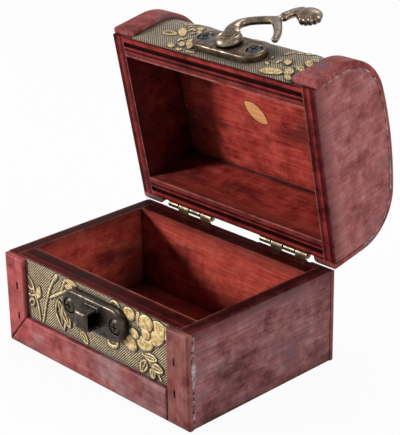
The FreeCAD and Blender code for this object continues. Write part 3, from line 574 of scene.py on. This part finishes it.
def gold_thread(name, shut, run, tones):
    """Flat gold-coloured filament, floated in short stitches about 0.5 mm apart: a warm soft lustre with fine
    lines."""
    material, tree = new_material(name)
    place = piece_space(tree, shut)
    thread = ribs(tree, place, run, 0.5, 1.1, 3, 1.2)
    lit = add_node(tree, "MapRange", {"Value": thread, 1: -1.8, 2: 1.6})
    stops = zip((0.0, 0.4, 0.7, 1.0), tones)
    colour = add_node(tree, "ValToRGB", {0: lit}, stops)
    bump = add_node(tree, "Bump", {"Height": lit, "Strength": 0.4, "Distance": 0.08 * MM})
    shader = add_node(tree, "BsdfPrincipled", {
        "Base Color": colour, "Metallic": 0.25, "Roughness": 0.48, "Normal": bump, "Sheen Weight": 0.15,
    })
    add_node(tree, "OutputMaterial", {0: shader})
    return material


def dark_thread(name):
    """Dark brown silk round the figures: nearly matt, with the ground's threads just showing."""
    material, tree = new_material(name)
    place = piece_space(tree, False)
    fray = add_node(tree, "TexNoise", {"Vector": place, "Scale": per_mm(0.9), "Detail": 2})
    stops = [(0.3, "1e1610"), (0.7, "3a2d1e")]
    colour = add_node(tree, "ValToRGB", {0: fray}, stops)
    shader = add_node(tree, "BsdfPrincipled", {"Base Color": colour, "Roughness": 0.75, "Sheen Weight": 0.2})
    add_node(tree, "OutputMaterial", {0: shader})
    return material


# Places are in millimetres from the middle of the cloth and up from its lower edge.
front_figures = Drawing()
front_figures.stroke(
    [(-34.5, 15.6), (-32.2, 13.4), (-31.6, 10.6), (-29.9, 6.9), (-29.2, 2.7), (-29.1, 0.5)], 0.9
)
front_figures.stroke([(-34.7, 12.1), (-33.4, 11.2), (-31.9, 11.6)], 0.7)
front_figures.stroke([(-34.7, 9.2), (-33.2, 8.8), (-31.2, 9.6)], 0.7)
front_figures.leaf((-29.8, 8.7), (-28.4, 13.6), 2.7, True)
front_figures.stroke([(-34.3, 5.9), (-33.0, 7.7), (-31.6, 7.2), (-32.2, 5.6), (-33.4, 5.3)], 0.75)
front_figures.figure()
front_figures.stroke(
    [(-18.9, 20.9), (-21.0, 17.8), (-23.1, 14.2), (-25.5, 8.0), (-26.6, 3.6), (-27.6, 0.5)], 0.95
)
front_figures.stroke([(-18.6, 21.2), (-19.4, 19.8), (-20.6, 18.4)], 1.5)
front_figures.figure()
front_figures.stroke([(-23.2, 11.2), (-19.7, 13.4), (-16.0, 15.7), (-12.4, 17.4)], 1.0)
front_figures.stroke([(-16.9, 15.8), (-15.5, 18.4), (-14.4, 21.0)], 0.9)
front_figures.leaf((-14.6, 20.6), (-8.2, 20.4), 1.9, True)
front_figures.leaf((-14.9, 18.4), (-9.6, 18.6), 2.0, True)
front_figures.stroke([(-12.6, 21.1), (-11.4, 19.6), (-11.0, 17.8)], 0.6)
front_figures.leaf((-18.7, 12.2), (-16.3, 1.5), 4.6)
front_figures.leaf((-16.4, 10.8), (-12.8, 3.8), 3.2)
front_figures.figure()
front_figures.leaf((-7.7, 4.4), (-4.1, 0.7), 2.4)
front_figures.figure()
front_figures.stroke([(6.8, 7.4), (6.4, 5.3), (8.4, 4.5), (10.6, 5.6), (10.9, 7.4)], 1.2)
front_figures.stroke([(7.9, 20.0), (9.4, 21.0), (11.4, 20.9), (12.6, 19.8)], 0.8)
front_figures.figure()
for outline in (
    [(14.4, 19.8), (15.4, 21.1), (18.8, 21.2), (19.7, 19.4), (18.4, 17.2), (15.8, 17.4)],
    [(20.3, 18.8), (20.8, 21.2), (22.0, 21.1), (21.9, 18.2), (21.2, 16.2)],
    [(27.4, 19.8), (29.8, 21.2), (33.2, 20.6), (33.6, 18.6), (29.6, 16.8)],
    [(25.8, 14.6), (28.9, 17.6), (33.2, 18.6), (33.4, 16.0), (31.2, 13.2), (28.0, 12.0), (25.9, 12.8)],
    [(20.6, 11.8), (22.8, 13.6), (25.6, 12.8), (28.2, 12.2), (26.8, 9.9), (23.4, 8.8), (21.0, 9.8)],
    [(22.0, 19.4), (23.4, 21.2), (26.8, 21.2), (28.4, 19.0), (26.6, 16.3), (23.2, 15.6), (21.8, 17.2)],
    [(22.8, 15.4), (24.6, 16.4), (26.8, 15.6), (26.2, 13.6), (23.8, 13.4)],
    [(16.8, 13.6), (18.4, 14.8), (20.8, 14.4), (21.6, 12.6), (19.4, 11.6)],
    [(15.2, 10.4), (17.2, 12.2), (19.8, 10.6), (20.4, 8.0), (17.8, 8.6)],
    [(14.0, 8.8), (15.6, 9.8), (18.8, 8.4), (19.6, 7.0), (16.6, 6.8)],
):
    front_figures.petal(outline)
front_figures.stroke([(34.0, 20.8), (34.6, 18.6), (34.0, 16.2)], 0.8)
front_figures.figure()
front_figures.stroke([(22.6, 7.4), (25.4, 5.9), (29.0, 3.4), (31.6, 0.5)], 0.85)
front_figures.leaf((23.8, 7.0), (29.6, 7.4), 2.2)
front_figures.leaf((24.6, 5.6), (22.0, 0.8), 2.8)
front_figures.leaf((27.2, 4.7), (32.4, 4.4), 2.4)
front_figures.leaf((27.6, 3.8), (27.8, 0.5), 2.0)
front_pieces = front_figures.build(
    "front_brocade", on_front,
    gold_thread("gold_filament_front", False, (1, 0, -1), ("5e4824", "b29252", "dcbd80", "f2dca8")),
    dark_thread("brown_silk"),
)
for piece in front_pieces:
    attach(piece, "base")


# Lid: arched ends, front and back boards and a top panel of the same stained plywood, glued up, with bands
# of the same ply bent over the ends. The rim of the front and back boards shows a sunk ply between two pale
# ones, painted dark as shade.

LID_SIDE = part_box("lid_right_end")[1].x
HINGE_RISE = 1.0 * MM
LID_RIM = hinge_point.z - HINGE_RISE
# The bands lie past this as a whole, so all of a band has the outside's tones.
BAND_SKIN = 30 * MM
# The first stops paint shade along the outer edge, the dark stops from 2.05 to 3.65 mm paint shade in the
# sunk ply, and the pale last stops are a painted highlight along the inner edge.
LID_PLIES_SHADE_AND_EDGE_LIGHT = (
    (0, "4e1719"), (0.5, "6e2323"), (0.7, "9e3732"), (1.6, "a43b36"), (1.95, "762322"), (2.05, "240809"),
    (3.65, "300d0c"), (3.75, "9c3c37"), (4.4, "82302e"), (4.6, "3c1113"), (5.2, "481718"), (5.4, "8e3c38"),
    (6.6, "7c2f2d"), (6.9, "a45a52"), (7.4, "b4766c"),
)
# Its pale last stop is a painted highlight along the inner edge.
END_PLIES_AND_EDGE_LIGHT = (
    (0, "7a3034"), (0.7, "5a1f22"), (1.9, "4a181b"), (2.2, "923532"), (3.4, "842d2b"), (3.7, "5c2022"),
    (4.7, "5c2020"), (5.2, "aa665e"),
)
# The lid's inside reds are darker copies of the base's: painted shade, deepest on the ends.
LID_RED_SHADED = ("661f1c", "98372f", "b65348")
LID_PLUM = ("703c3d", "9e5e5d", "b67f7c")
LID_END_RED_SHADED = ("40191a", "722924", "8e3b33")
BAND_TONES = ("632c2c", "964a48", "ae6c68")
finish(
    stained_ply(
        "stained_ply_lid_walls", True, 0, LID_RED_SHADED, OUTSIDE_PLUM, (1, CORE),
        (LID_RIM, -1, LID_PLIES_SHADE_AND_EDGE_LIGHT),
    ),
    "lid_front_board", "lid_back_board", "lid_top_panel",
)
finish(
    stained_ply(
        "stained_ply_lid_ends", True, 2, LID_END_RED_SHADED, LID_PLUM, (0, LID_SIDE),
        (LID_RIM, -1, END_PLIES_AND_EDGE_LIGHT), lined=0.26, blotch=0.36,
    ),
    "lid_left_end", "lid_right_end",
)
finish(
    stained_ply("stained_bent_band", True, 1, OUTSIDE_PLUM, BAND_TONES, (0, BAND_SKIN)),
    "lid_left_band", "lid_right_band",
)


# Veneer patch: a boat-shaped plug of pale veneer that mends a knot inside the top panel, pressed in with
# glue and left nearly unstained.

def pale_veneer():
    """Sliced veneer, nearly bare: a warm straw colour with fine straight grain and a faint gloss."""
    material, tree = new_material("pale_veneer_sliced")
    place = piece_space(tree, True)
    # Grain lines are 0.8 mm apart and about 9 mm long.
    scale = (per_mm(9), per_mm(0.8), per_mm(2))
    along = add_node(tree, "Mapping", {"Vector": place, "Scale": scale})
    lines = add_node(tree, "TexNoise", {"Vector": along, "Scale": 1, "Detail": 3, "Roughness": 0.6})
    stops = [(0.3, "b0683c"), (0.55, "cf9058"), (0.75, "dba36c")]
    colour = add_node(tree, "ValToRGB", {0: lines}, stops)
    bump = add_node(tree, "Bump", {"Height": lines, "Strength": 0.2, "Distance": 0.1 * MM})
    shader = add_node(tree, "BsdfPrincipled", {
        "Base Color": colour, "Roughness": 0.5, "Normal": bump, "Coat Weight": 0.1,
    })
    add_node(tree, "OutputMaterial", {0: shader})
    return material


finish(pale_veneer(), "lid_veneer_patch")


# Glue and painted shade: a thin bead of glue that squeezed out round the veneer patch and was stained over
# with the wood, and dark strips along the creases of the lid's ceiling that paint the shade in the gaps
# there.

def glue_and_shade_material():
    """A matt, nearly black line with a few browner spots: stained glue round the patch, painted shade in the
    creases.
    """
    material, tree = new_material("dark_glue_and_painted_shade")
    place = piece_space(tree, False)
    spots = add_node(tree, "TexNoise", {"Vector": place, "Scale": per_mm(3), "Detail": 3})
    stops = [(0.35, "120504"), (0.7, "34110e")]
    colour = add_node(tree, "ValToRGB", {0: spots}, stops)
    shader = add_node(tree, "BsdfPrincipled", {
        "Base Color": colour, "Roughness": 0.7, "Specular IOR Level": 0.15,
    })
    add_node(tree, "OutputMaterial", {0: shader})
    return material


OPEN = SHUT.inverted()
LID_ROOM = 22.0 * MM
CEILING = LID_RIM + LID_ROOM
# The lid's ends and boards are as thick as the base's.
LID_INNER = LID_SIDE - (BASE_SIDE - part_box("base_right_side")[0].x)
CORE_INNER = -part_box("base_front_board")[1].y
PATCH_X, PATCH_Y, PATCH_TURN = -4.2 * MM, -1.2 * MM, math.radians(32)
PATCH_HALF, PATCH_BULGE, PATCH_STEPS = 6.2 * MM, 3.1 * MM, 32
PATCH_GLUE, CREASE_SHADE_SIZE = (0.16 * MM, 0.1 * MM), (0.55 * MM, 0.4 * MM)
patch_ring = []
for step in range(PATCH_STEPS + 1):
    angle = 2 * math.pi * step / PATCH_STEPS
    along = PATCH_HALF * math.cos(angle)
    across = PATCH_BULGE * math.sin(angle) * abs(math.sin(angle)) ** 0.5
    patch_ring.append(OPEN @ Vector((
        PATCH_X + along * math.cos(PATCH_TURN) - across * math.sin(PATCH_TURN),
        PATCH_Y + along * math.sin(PATCH_TURN) + across * math.cos(PATCH_TURN),
        CEILING,
    )))
ceiling_down = (OPEN.to_3x3() @ Vector((0, 0, -1))).normalized()
glue_and_crease_shade = [tube(patch_ring, [PATCH_GLUE] * len(patch_ring), ceiling_down, 6)]
# Dark strips along the four creases of the ceiling paint the shade in the gaps there.
creases = [
    OPEN @ Vector((x * LID_INNER, y * CORE_INNER, CEILING)) for x, y in ((-1, -1), (1, -1), (1, 1), (-1, 1))
]
for start, end in zip(creases, creases[1:] + creases[:1]):
    glue_and_crease_shade.append(tube([start, end], [CREASE_SHADE_SIZE] * 2, ceiling_down, 6))
lid_glue_and_shade = mesh_object("lid_glue_and_crease_shade_lines", *joined(glue_and_crease_shade), glue_and_shade_material())
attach(lid_glue_and_shade, "lid")


# Lid brocade: one piece of similar cloth, glued on from the front rim over the dome, between the bands. Its
# ribs run diagonally, and it has blossoms and twigs in raised gold thread.

# The dome's spring line and crown are heights above the lid's rim.
LID_SPRING, LID_CROWN, CROWN_RADIUS = 14.0 * MM, 31.2 * MM, 122.8 * MM
RIM_GAP = 0.3 * MM
crown_centre = LID_CROWN - CROWN_RADIUS
corner_radius = (CROWN_RADIUS ** 2 - CORE ** 2 - (LID_SPRING - crown_centre) ** 2) / (
    2 * (CROWN_RADIUS - CORE)
)
lean = math.atan2(CORE - corner_radius, LID_SPRING - crown_centre)
upright = LID_SPRING - RIM_GAP
corner_run = (corner_radius + FABRIC_LIFT) * (math.pi / 2 - lean)
crown_run = (CROWN_RADIUS + FABRIC_LIFT) * 2 * lean
lid_length = upright + 2 * corner_run + crown_run
lid_low, lid_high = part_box("lid_fabric")
lid_width = lid_high.x - lid_low.x


def on_dome(x, s, lift):
    """A place on the lid cloth: across, along it from the front rim, and out from it, with the lid open."""
    out = FABRIC_LIFT + lift
    if s < upright:
        y, z = -CORE - out, RIM_GAP + s
    elif s < upright + corner_run:
        angle = (s - upright) / (corner_radius + FABRIC_LIFT)
        y = corner_radius - CORE - (corner_radius + out) * math.cos(angle)
        z = LID_SPRING + (corner_radius + out) * math.sin(angle)
    elif s < upright + corner_run + crown_run:
        angle = (s - upright - corner_run) / (CROWN_RADIUS + FABRIC_LIFT) - lean
        y = (CROWN_RADIUS + out) * math.sin(angle)
        z = crown_centre + (CROWN_RADIUS + out) * math.cos(angle)
    else:
        angle = (lid_length - s) / (corner_radius + FABRIC_LIFT)
        y = CORE - corner_radius + (corner_radius + out) * math.cos(angle)
        z = LID_SPRING + (corner_radius + out) * math.sin(angle)
    return OPEN @ Vector((x, y, LID_RIM + z))


lid_cloth = cloth(
    "lid_brocade", on_dome, lid_width, lid_length, 72, 110,
    brocade_ground("woven_rib", True, (1, 0, 1), 0.7, ("1c140f", "4a3928", "897352", "bea67c")),
)
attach(lid_cloth, "lid")
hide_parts("lid_fabric")

lid_figures = Drawing()
for outline in (
    [(-25.7, 11.5), (-26.4, 13.6), (-24.7, 14.1), (-22.1, 12.3), (-20.6, 9.5), (-22.4, 9.1)],
    [(-20.5, 15.3), (-21.4, 17.7), (-19.6, 18.0), (-18.1, 16.1)],
    [(-18.4, 13.2), (-18.9, 14.9), (-17.2, 14.7), (-16.2, 12.5)],
    [(-20.7, 1.4), (-21.2, 3.1), (-19.1, 3.2), (-17.4, 2.0), (-17.4, 1.0), (-18.8, 0.7)],
    [(-15.0, 4.9), (-16.4, 7.2), (-15.5, 8.5), (-12.8, 6.3), (-11.0, 3.8), (-11.7, 2.6)],
    [(-17.2, 3.5), (-17.6, 5.4), (-15.9, 5.3), (-14.6, 3.6), (-15.2, 2.6)],
    [(22.3, 1.2), (22.3, 3.1), (24.5, 4.4), (27.1, 5.1), (29.9, 4.2), (29.9, 2.3), (27.1, 1.3), (24.7, 0.8)],
    [(29.3, 5.5), (29.9, 7.5), (32.8, 6.1), (33.5, 3.7), (31.7, 3.2)],
    [(32.2, 2.5), (33.7, 3.1), (35.8, 1.6), (35.8, 0.8), (34.0, 0.8)],
    [(25.4, 9.5), (25.0, 11.4), (26.7, 11.5), (28.3, 9.7), (27.6, 8.6)],
    [(31.9, 12.3), (31.9, 13.8), (34.1, 13.6), (35.6, 11.8), (34.8, 10.6)],
):
    lid_figures.petal(outline)
lid_figures.figure()
for line in (
    [(-29.8, 8.2), (-28.9, 9.8), (-26.7, 10.1), (-24.2, 9.5)],
    [(-29.4, 7.9), (-26.8, 7.8), (-25.1, 8.5), (-24.1, 9.4)],
    [(-28.4, 17.0), (-28.6, 18.7), (-26.6, 19.2)], [(-27.9, 16.7), (-26.6, 17.2), (-26.0, 18.6)],
    [(-24.5, 15.2), (-24.4, 16.8), (-22.9, 17.0)], [(-21.8, 12.9), (-22.0, 14.9), (-19.8, 14.3)],
    [(-19.6, 11.6), (-18.7, 13.1)], [(-19.4, 5.4), (-20.1, 7.1), (-18.8, 7.4), (-18.2, 8.5)],
    [(-15.5, 1.0), (-14.2, 0.8), (-13.2, 1.5)], [(-11.0, 0.9), (-9.1, 1.2), (-7.2, 1.6)],
    [(21.4, 13.7), (22.1, 16.0), (23.1, 17.3)], [(24.4, 16.7), (24.6, 18.1), (25.6, 18.9)],
    [(32.1, 14.0), (32.5, 16.0), (33.8, 17.0)], [(33.7, 13.7), (33.9, 15.4), (35.0, 15.8)],
    [(30.7, 9.0), (32.1, 9.2), (33.0, 10.6)], [(32.0, 7.9), (33.4, 8.3), (33.8, 9.8)],
    [(34.1, 7.1), (34.6, 8.0), (35.0, 8.8)], [(19.4, 7.6), (21.5, 6.4)], [(19.1, 9.9), (18.9, 11.4)],
    [(23.4, 8.0), (23.1, 9.7), (24.0, 10.4)],
):
    lid_figures.stroke(line, 1.0)
    lid_figures.figure()
# Sprays in staggered rows go on over the top and back of the dome.
SPRAY_ACROSS, SPRAY_UP, SPRAY_FIRST, SPRAY_EDGE = 24, 15, 27, 29
spray = random.Random(5)
for row in range(4):
    for column in range(3):
        across = (column - 1 + row % 2 / 2) * SPRAY_ACROSS + spray.uniform(-2, 2)
        if abs(across) > SPRAY_EDGE:
            continue
        middle = Vector((across, SPRAY_FIRST + row * SPRAY_UP))
        turn = spray.uniform(0, math.pi)
        lid_figures.blossom(tuple(middle), 3.4, turn)
        for index in range(3):
            angle = turn + index * 2.1
            way = Vector((math.cos(angle), math.sin(angle)))
            stalk = [tuple(middle + way * 3.6), tuple(middle + way * 6.0 + Vector((0.4, 0.6)))]
            lid_figures.stroke(stalk, 0.6)
            lid_figures.leaf(tuple(middle + way * 5.0), tuple(middle + way * 9.2), 2.4, index == 1)
            lid_figures.figure()
lid_pieces = lid_figures.build(
    "lid_brocade", on_dome,
    gold_thread("gold_filament_lid", True, (1, 0, 1), ("4a3618", "9c7b40", "d0ac66", "f0d69a")),
    bpy.data.materials["brown_silk"],
)
for piece in lid_pieces:
    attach(piece, "lid")


# Lid filler: the same grey wood filler in the seams between the bent bands and the arched ends, wiped in by
# hand as a thinner bead.

LID_SEAM_START, LID_SEAM_STEPS = 3, 110
lid_seams = []
for sign in (-1, 1):
    runs = [lid_length * step / LID_SEAM_STEPS for step in range(LID_SEAM_START, LID_SEAM_STEPS + 1)]
    path = [on_dome(sign * LID_SIDE, run, -FABRIC_LIFT) for run in runs]
    lid_seams.append(bead(path, Vector((sign, 0, 0)), 20 + sign, 0.1, 0.36))
lid_filler = mesh_object("lid_seam_filler", *joined(lid_seams), filler)
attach(lid_filler, "lid")


# Latch: two cast oblong plates, screwed on over the cloth, one with the hook's rivet and one with a hollow
# keeper. The castings are zinc plated in antique bronze and rubbed bright along their edges.

def aged_metal(name, patina, rubbed, rough):
    """Aged metal: a dark patina with paler rubbed metal on the edges and high spots."""
    material, tree = new_material(name)
    place = piece_space(tree, False)
    stain = add_node(tree, "TexNoise", {"Vector": place, "Scale": per_mm(3), "Detail": 5, "Roughness": 0.65})
    grit = add_node(tree, "TexNoise", {"Vector": place, "Scale": per_mm(0.5), "Detail": 2})
    # The rub reaches about 0.5 mm in from an edge.
    soft = add_node(tree, "Bevel", {"Radius": 0.5 * MM}, samples=6)
    plain = add_node(tree, "NewGeometry").outputs["Normal"]
    even = add_node(tree, "VectorMath", {0: soft, 1: plain}, operation="DOT_PRODUCT")
    edge = add_node(tree, "MapRange", {"Value": even, 1: 1.0, 2: 0.86})
    spot = add_node(tree, "MapRange", {"Value": stain, 1: 0.42, 2: 0.68, 4: 0.55})
    rub = add_node(tree, "Math", {0: edge, 1: spot}, operation="MAXIMUM")
    worn = {0: rub, 6: linear(patina), 7: linear(rubbed)}
    colour = add_node(tree, "Mix", worn, data_type="RGBA")
    # Dark wax is left in the recesses, within about 1 mm of a wall.
    colour = in_corners(tree, colour, "120e0b", 1.2, 0.7, 0.3, 0.85, 6)
    dull = add_node(tree, "MapRange", {"Value": stain, 1: 0.3, 2: 0.7, 3: rough + 0.1, 4: rough - 0.06})
    bump = add_node(tree, "Bump", {"Height": grit, "Strength": 0.18, "Distance": 0.08 * MM})
    shader = add_node(tree, "BsdfPrincipled", {
        "Base Color": colour, "Metallic": 1.0, "Roughness": dull, "Normal": bump,
    })
    add_node(tree, "OutputMaterial", {0: shader})
    return material


bronze = aged_metal("antique_bronze_cast", "3f352e", "957b5e", 0.34)
# The catch's bronze is a darker copy of the hasp's: painted shade, as the catch faces away from the light.
shaded_bronze = aged_metal("antique_bronze_shaded", "312c28", "675b50", 0.38)
finish(bronze, "hasp_plate", "hook_rivet")
finish(shaded_bronze, "catch_plate", "catch_screws")
blued_steel = aged_metal("blued_screw_steel", "2b2f33", "545a60", 0.4)
finish(blued_steel, "hasp_screws")


def soften(piece, grain, rounds):
    """Runs the skin of a casting together in grains of that many millimetres and rounds it."""
    skin = piece.modifiers.new("one_skin", "REMESH")
    skin.mode = "VOXEL"
    skin.voxel_size = grain * MM
    skin.use_smooth_shade = True
    smooth = piece.modifiers.new("rounding", "SMOOTH")
    smooth.factor = 0.5
    smooth.iterations = rounds


soften(frame["nodes"]["hasp_plate"], 0.16, 4)
soften(frame["nodes"]["catch_plate"], 0.16, 8)


# Hook: one casting that turns on the rivet. It has a stepped eye, an arm that sweeps round to a fork, a spur
# that goes into the keeper, and a handle with a thick knob that is scalloped on one side. Its bronze is paler
# than the plates': a painted reflection of the bright room round it.

swing = joints["hook_swing"]
hook_out = Vector(swing["axis"]).normalized()
hook_across = Vector((1, 0, 0))
hook_rise = hook_out.cross(hook_across)
PLATE_THICK = 2.8
BAR_STEPS = 6


def on_hook(x, y, lift):
    """A place by the hook in millimetres: across, up the shut lid and out from the plate, from the rivet."""
    return Vector(swing["pos_m"]) + (hook_across * x + hook_rise * y + hook_out * (PLATE_THICK + lift)) * MM


def bar(places):
    """A cast bar through places of (across, up, lift, half width, half height)."""
    line = spline_through([place[:2] for place in places], BAR_STEPS)
    path, sizes = [], []
    for index, point in enumerate(line):
        first = min(index // BAR_STEPS, len(places) - 2)
        share = index / BAR_STEPS - first
        lift, width, height = (
            places[first][k] + (places[first + 1][k] - places[first][k]) * share for k in (2, 3, 4)
        )
        path.append(on_hook(point.x, point.y, lift))
        sizes.append((width * MM, height * MM))
    return tube(path, sizes, hook_out, 16)


def cast_ball(x, y, lift, along, across, height, turn):
    """A lump of a casting with three half axes, turned in the hook's plane."""
    way = Vector((math.cos(math.radians(turn)), math.sin(math.radians(turn))))
    steps = [math.radians(angle) for angle in range(-85, 86, 10)]
    path = [on_hook(x + way.x * along * math.sin(a), y + way.y * along * math.sin(a), lift) for a in steps]
    return tube(path, [(across * MM * math.cos(a), height * MM * math.cos(a)) for a in steps], hook_out, 20)


def cast_ring(profile, sides):
    """A ring about the rivet from a closed outline of (radius, lift)."""
    count = len(profile)
    points, faces = [], []
    for side in range(sides):
        angle = 2 * math.pi * side / sides
        x, y = math.cos(angle), math.sin(angle)
        points += [on_hook(radius * x, radius * y, lift) for radius, lift in profile]
        here, there = side * count, (side + 1) % sides * count
        for index in range(count):
            after = (index + 1) % count
            faces.append((here + index, here + after, there + after, there + index))
    return points, faces


hook_shells = [
    cast_ring([
        (1.72, 0.15), (4.4, 0.15), (4.8, 0.6), (4.75, 1.4), (4.45, 2.0), (4.0, 2.5), (3.6, 2.8), (3.3, 2.85),
        (3.15, 2.7), (3.1, 2.5), (1.72, 2.5),
    ], 48),
    bar([
        (-2.0, 3.4, 1.3, 3.2, 1.2), (-3.2, 5.6, 2.0, 2.6, 1.55), (-3.3, 8.9, 2.3, 1.95, 1.5),
        (-1.6, 11.9, 2.3, 1.6, 1.4), (1.2, 14.0, 2.3, 1.6, 1.4), (4.2, 15.6, 2.3, 1.7, 1.4),
        (6.6, 16.4, 2.3, 1.8, 1.4),
    ]),
    bar([
        (5.0, 16.3, 2.3, 1.7, 1.4), (7.6, 15.1, 2.3, 1.8, 1.4), (10.2, 12.8, 2.3, 1.6, 1.35),
        (13.0, 9.9, 2.3, 1.45, 1.25), (15.3, 6.8, 2.3, 1.3, 1.2), (16.3, 4.8, 2.3, 1.2, 1.15),
        (16.6, 4.0, 2.3, 0.7, 0.7),
    ]),
    bar([
        (6.0, 16.4, 2.3, 1.6, 1.35), (6.7, 18.3, 2.3, 1.2, 1.1), (7.0, 19.3, 2.4, 1.8, 1.55),
        (7.5, 21.6, 2.5, 1.6, 1.45), (8.6, 24.0, 2.5, 1.8, 1.6), (10.8, 25.4, 2.4, 2.5, 1.9),
    ]),
    cast_ball(14.2, 24.0, 2.4, 4.6, 3.7, 2.6, 18),
]
KNOB_X, KNOB_Y, SCALLOP_REACH = 14.4, 23.8, 3.2
for turn in (-98, -72, -46, -20, 6):
    x = KNOB_X + SCALLOP_REACH * math.cos(math.radians(turn))
    y = KNOB_Y + SCALLOP_REACH * math.sin(math.radians(turn))
    hook_shells.append(cast_ball(x, y, 2.0, 1.35, 1.05, 1.7, turn))
# A paler copy of the plates' bronze, painted as the reflection of the bright room.
hook_bronze_brightened = aged_metal("antique_bronze_hook_brightened", "554a42", "c0aa90", 0.3)
hook = mesh_object("hook_casting", *joined(hook_shells), hook_bronze_brightened)
soften(hook, 0.2, 6)
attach(hook, "hook")
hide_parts("swing_hook")


# Hinges: two small hinges, pressed from thin pale brass that has dulled. Their leaves are nailed to the
# backs of the base and the lid, and each turns on a pin.

pale_brass = aged_metal("dulled_pressed_brass", "4a4034", "8f7f62", 0.36)
finish(
    pale_brass, "left_hinge_base_leaf", "right_hinge_base_leaf", "left_hinge_lid_leaf",
    "right_hinge_lid_leaf", "hinge_base_nails", "hinge_lid_nails", "left_hinge_pin", "right_hinge_pin",
)


# Table, light and camera: a white table and background, a small lamp low at the front left, weaker and wider
# ones at the right and overhead behind the lid, and a long lens at the photograph's angle.

def seen_rays(tree):
    """1 for rays that show a surface, straight or mirrored, and 0 for those that only light others."""
    path = add_node(tree, "LightPath")
    rays = path.outputs["Is Camera Ray"]
    for kind in ("Is Glossy Ray", "Is Transmission Ray"):
        rays = add_node(tree, "Math", {0: rays, 1: path.outputs[kind]}, operation="MAXIMUM")
    return rays


table_material, tree = new_material("white_table")
wide = add_node(tree, "TexNoise", {"Scale": 3.0, "Detail": 2})
pale = add_node(tree, "ValToRGB", {0: wide}, [(0.3, "dcdcdc"), (0.7, "e2e2e2")])
matt = add_node(tree, "BsdfPrincipled", {"Base Color": pale, "Roughness": 0.9})
glow = add_node(tree, "Emission", {"Color": linear("ffffff"), "Strength": 1.0})
seen = add_node(tree, "MapRange", {"Value": seen_rays(tree), 4: 0.95})
shown = add_node(tree, "MixShader", {0: seen, 1: matt, 2: glow})
add_node(tree, "OutputMaterial", {0: shown})
REACH = 3.0
table = mesh_object(
    "table", [(-REACH, -REACH, 0), (REACH, -REACH, 0), (REACH, REACH, 0), (-REACH, REACH, 0)], [(0, 1, 2, 3)],
    table_material,
)

world = bpy.data.worlds.new("white_room")
bpy.context.scene.world = world
world.use_nodes = True
tree = world.node_tree
tree.nodes.clear()
strength = add_node(tree, "MapRange", {"Value": seen_rays(tree), 3: 0.09, 4: 1.0})
room = add_node(tree, "Background", {"Color": linear("ffffff"), "Strength": strength})
add_node(tree, "OutputWorld", {0: room})


def lamp(name, place, aim, size, power):
    """A square lamp, its place, aim and size in metres and its power in watts."""
    data = bpy.data.lights.new(name, "AREA")
    data.size = size
    data.energy = power
    light = bpy.data.objects.new(name, data)
    light.location = place
    light.rotation_euler = (Vector(aim) - Vector(place)).to_track_quat("-Z", "Y").to_euler()
    bpy.context.scene.collection.objects.link(light)


MIDDLE = (0, 0, 0.05)
lamp("front_left_lamp", (-0.66, -0.78, 0.35), MIDDLE, 0.18, 13.0)
lamp("right_lamp", (0.9, 0.12, 0.35), MIDDLE, 0.5, 5.0)
lamp("top_lamp", (-0.1, 0.55, 0.95), MIDDLE, 0.5, 5.0)

LENS_PX = 1480.39
IMAGE_HEIGHT = 435
CAMERA_RIGHT, CAMERA_UP, CAMERA_BACK = 0.0105, 0.0449, 0.50703
azimuth, elevation, roll = (math.radians(turn) for turn in (46.35, 22.79, -1.0))
back = Vector((
    math.sin(azimuth) * math.cos(elevation), -math.cos(azimuth) * math.cos(elevation), math.sin(elevation)
))
level_right = Vector((0, 0, 1)).cross(back).normalized()
level_up = back.cross(level_right)
right = level_right * math.cos(roll) + level_up * math.sin(roll)
up = level_up * math.cos(roll) - level_right * math.sin(roll)
camera_data = bpy.data.cameras.new("camera")
camera_data.sensor_width = 36
camera_data.lens = LENS_PX / IMAGE_HEIGHT * camera_data.sensor_width
camera = bpy.data.objects.new("camera", camera_data)
camera_place = right * CAMERA_RIGHT + up * CAMERA_UP + back * CAMERA_BACK
camera_turn = Matrix((right, up, back)).transposed().to_4x4()
camera.matrix_world = Matrix.Translation(camera_place) @ camera_turn
bpy.context.scene.collection.objects.link(camera)
bpy.context.scene.camera = camera
bpy.context.scene.view_settings.view_transform = "Standard"
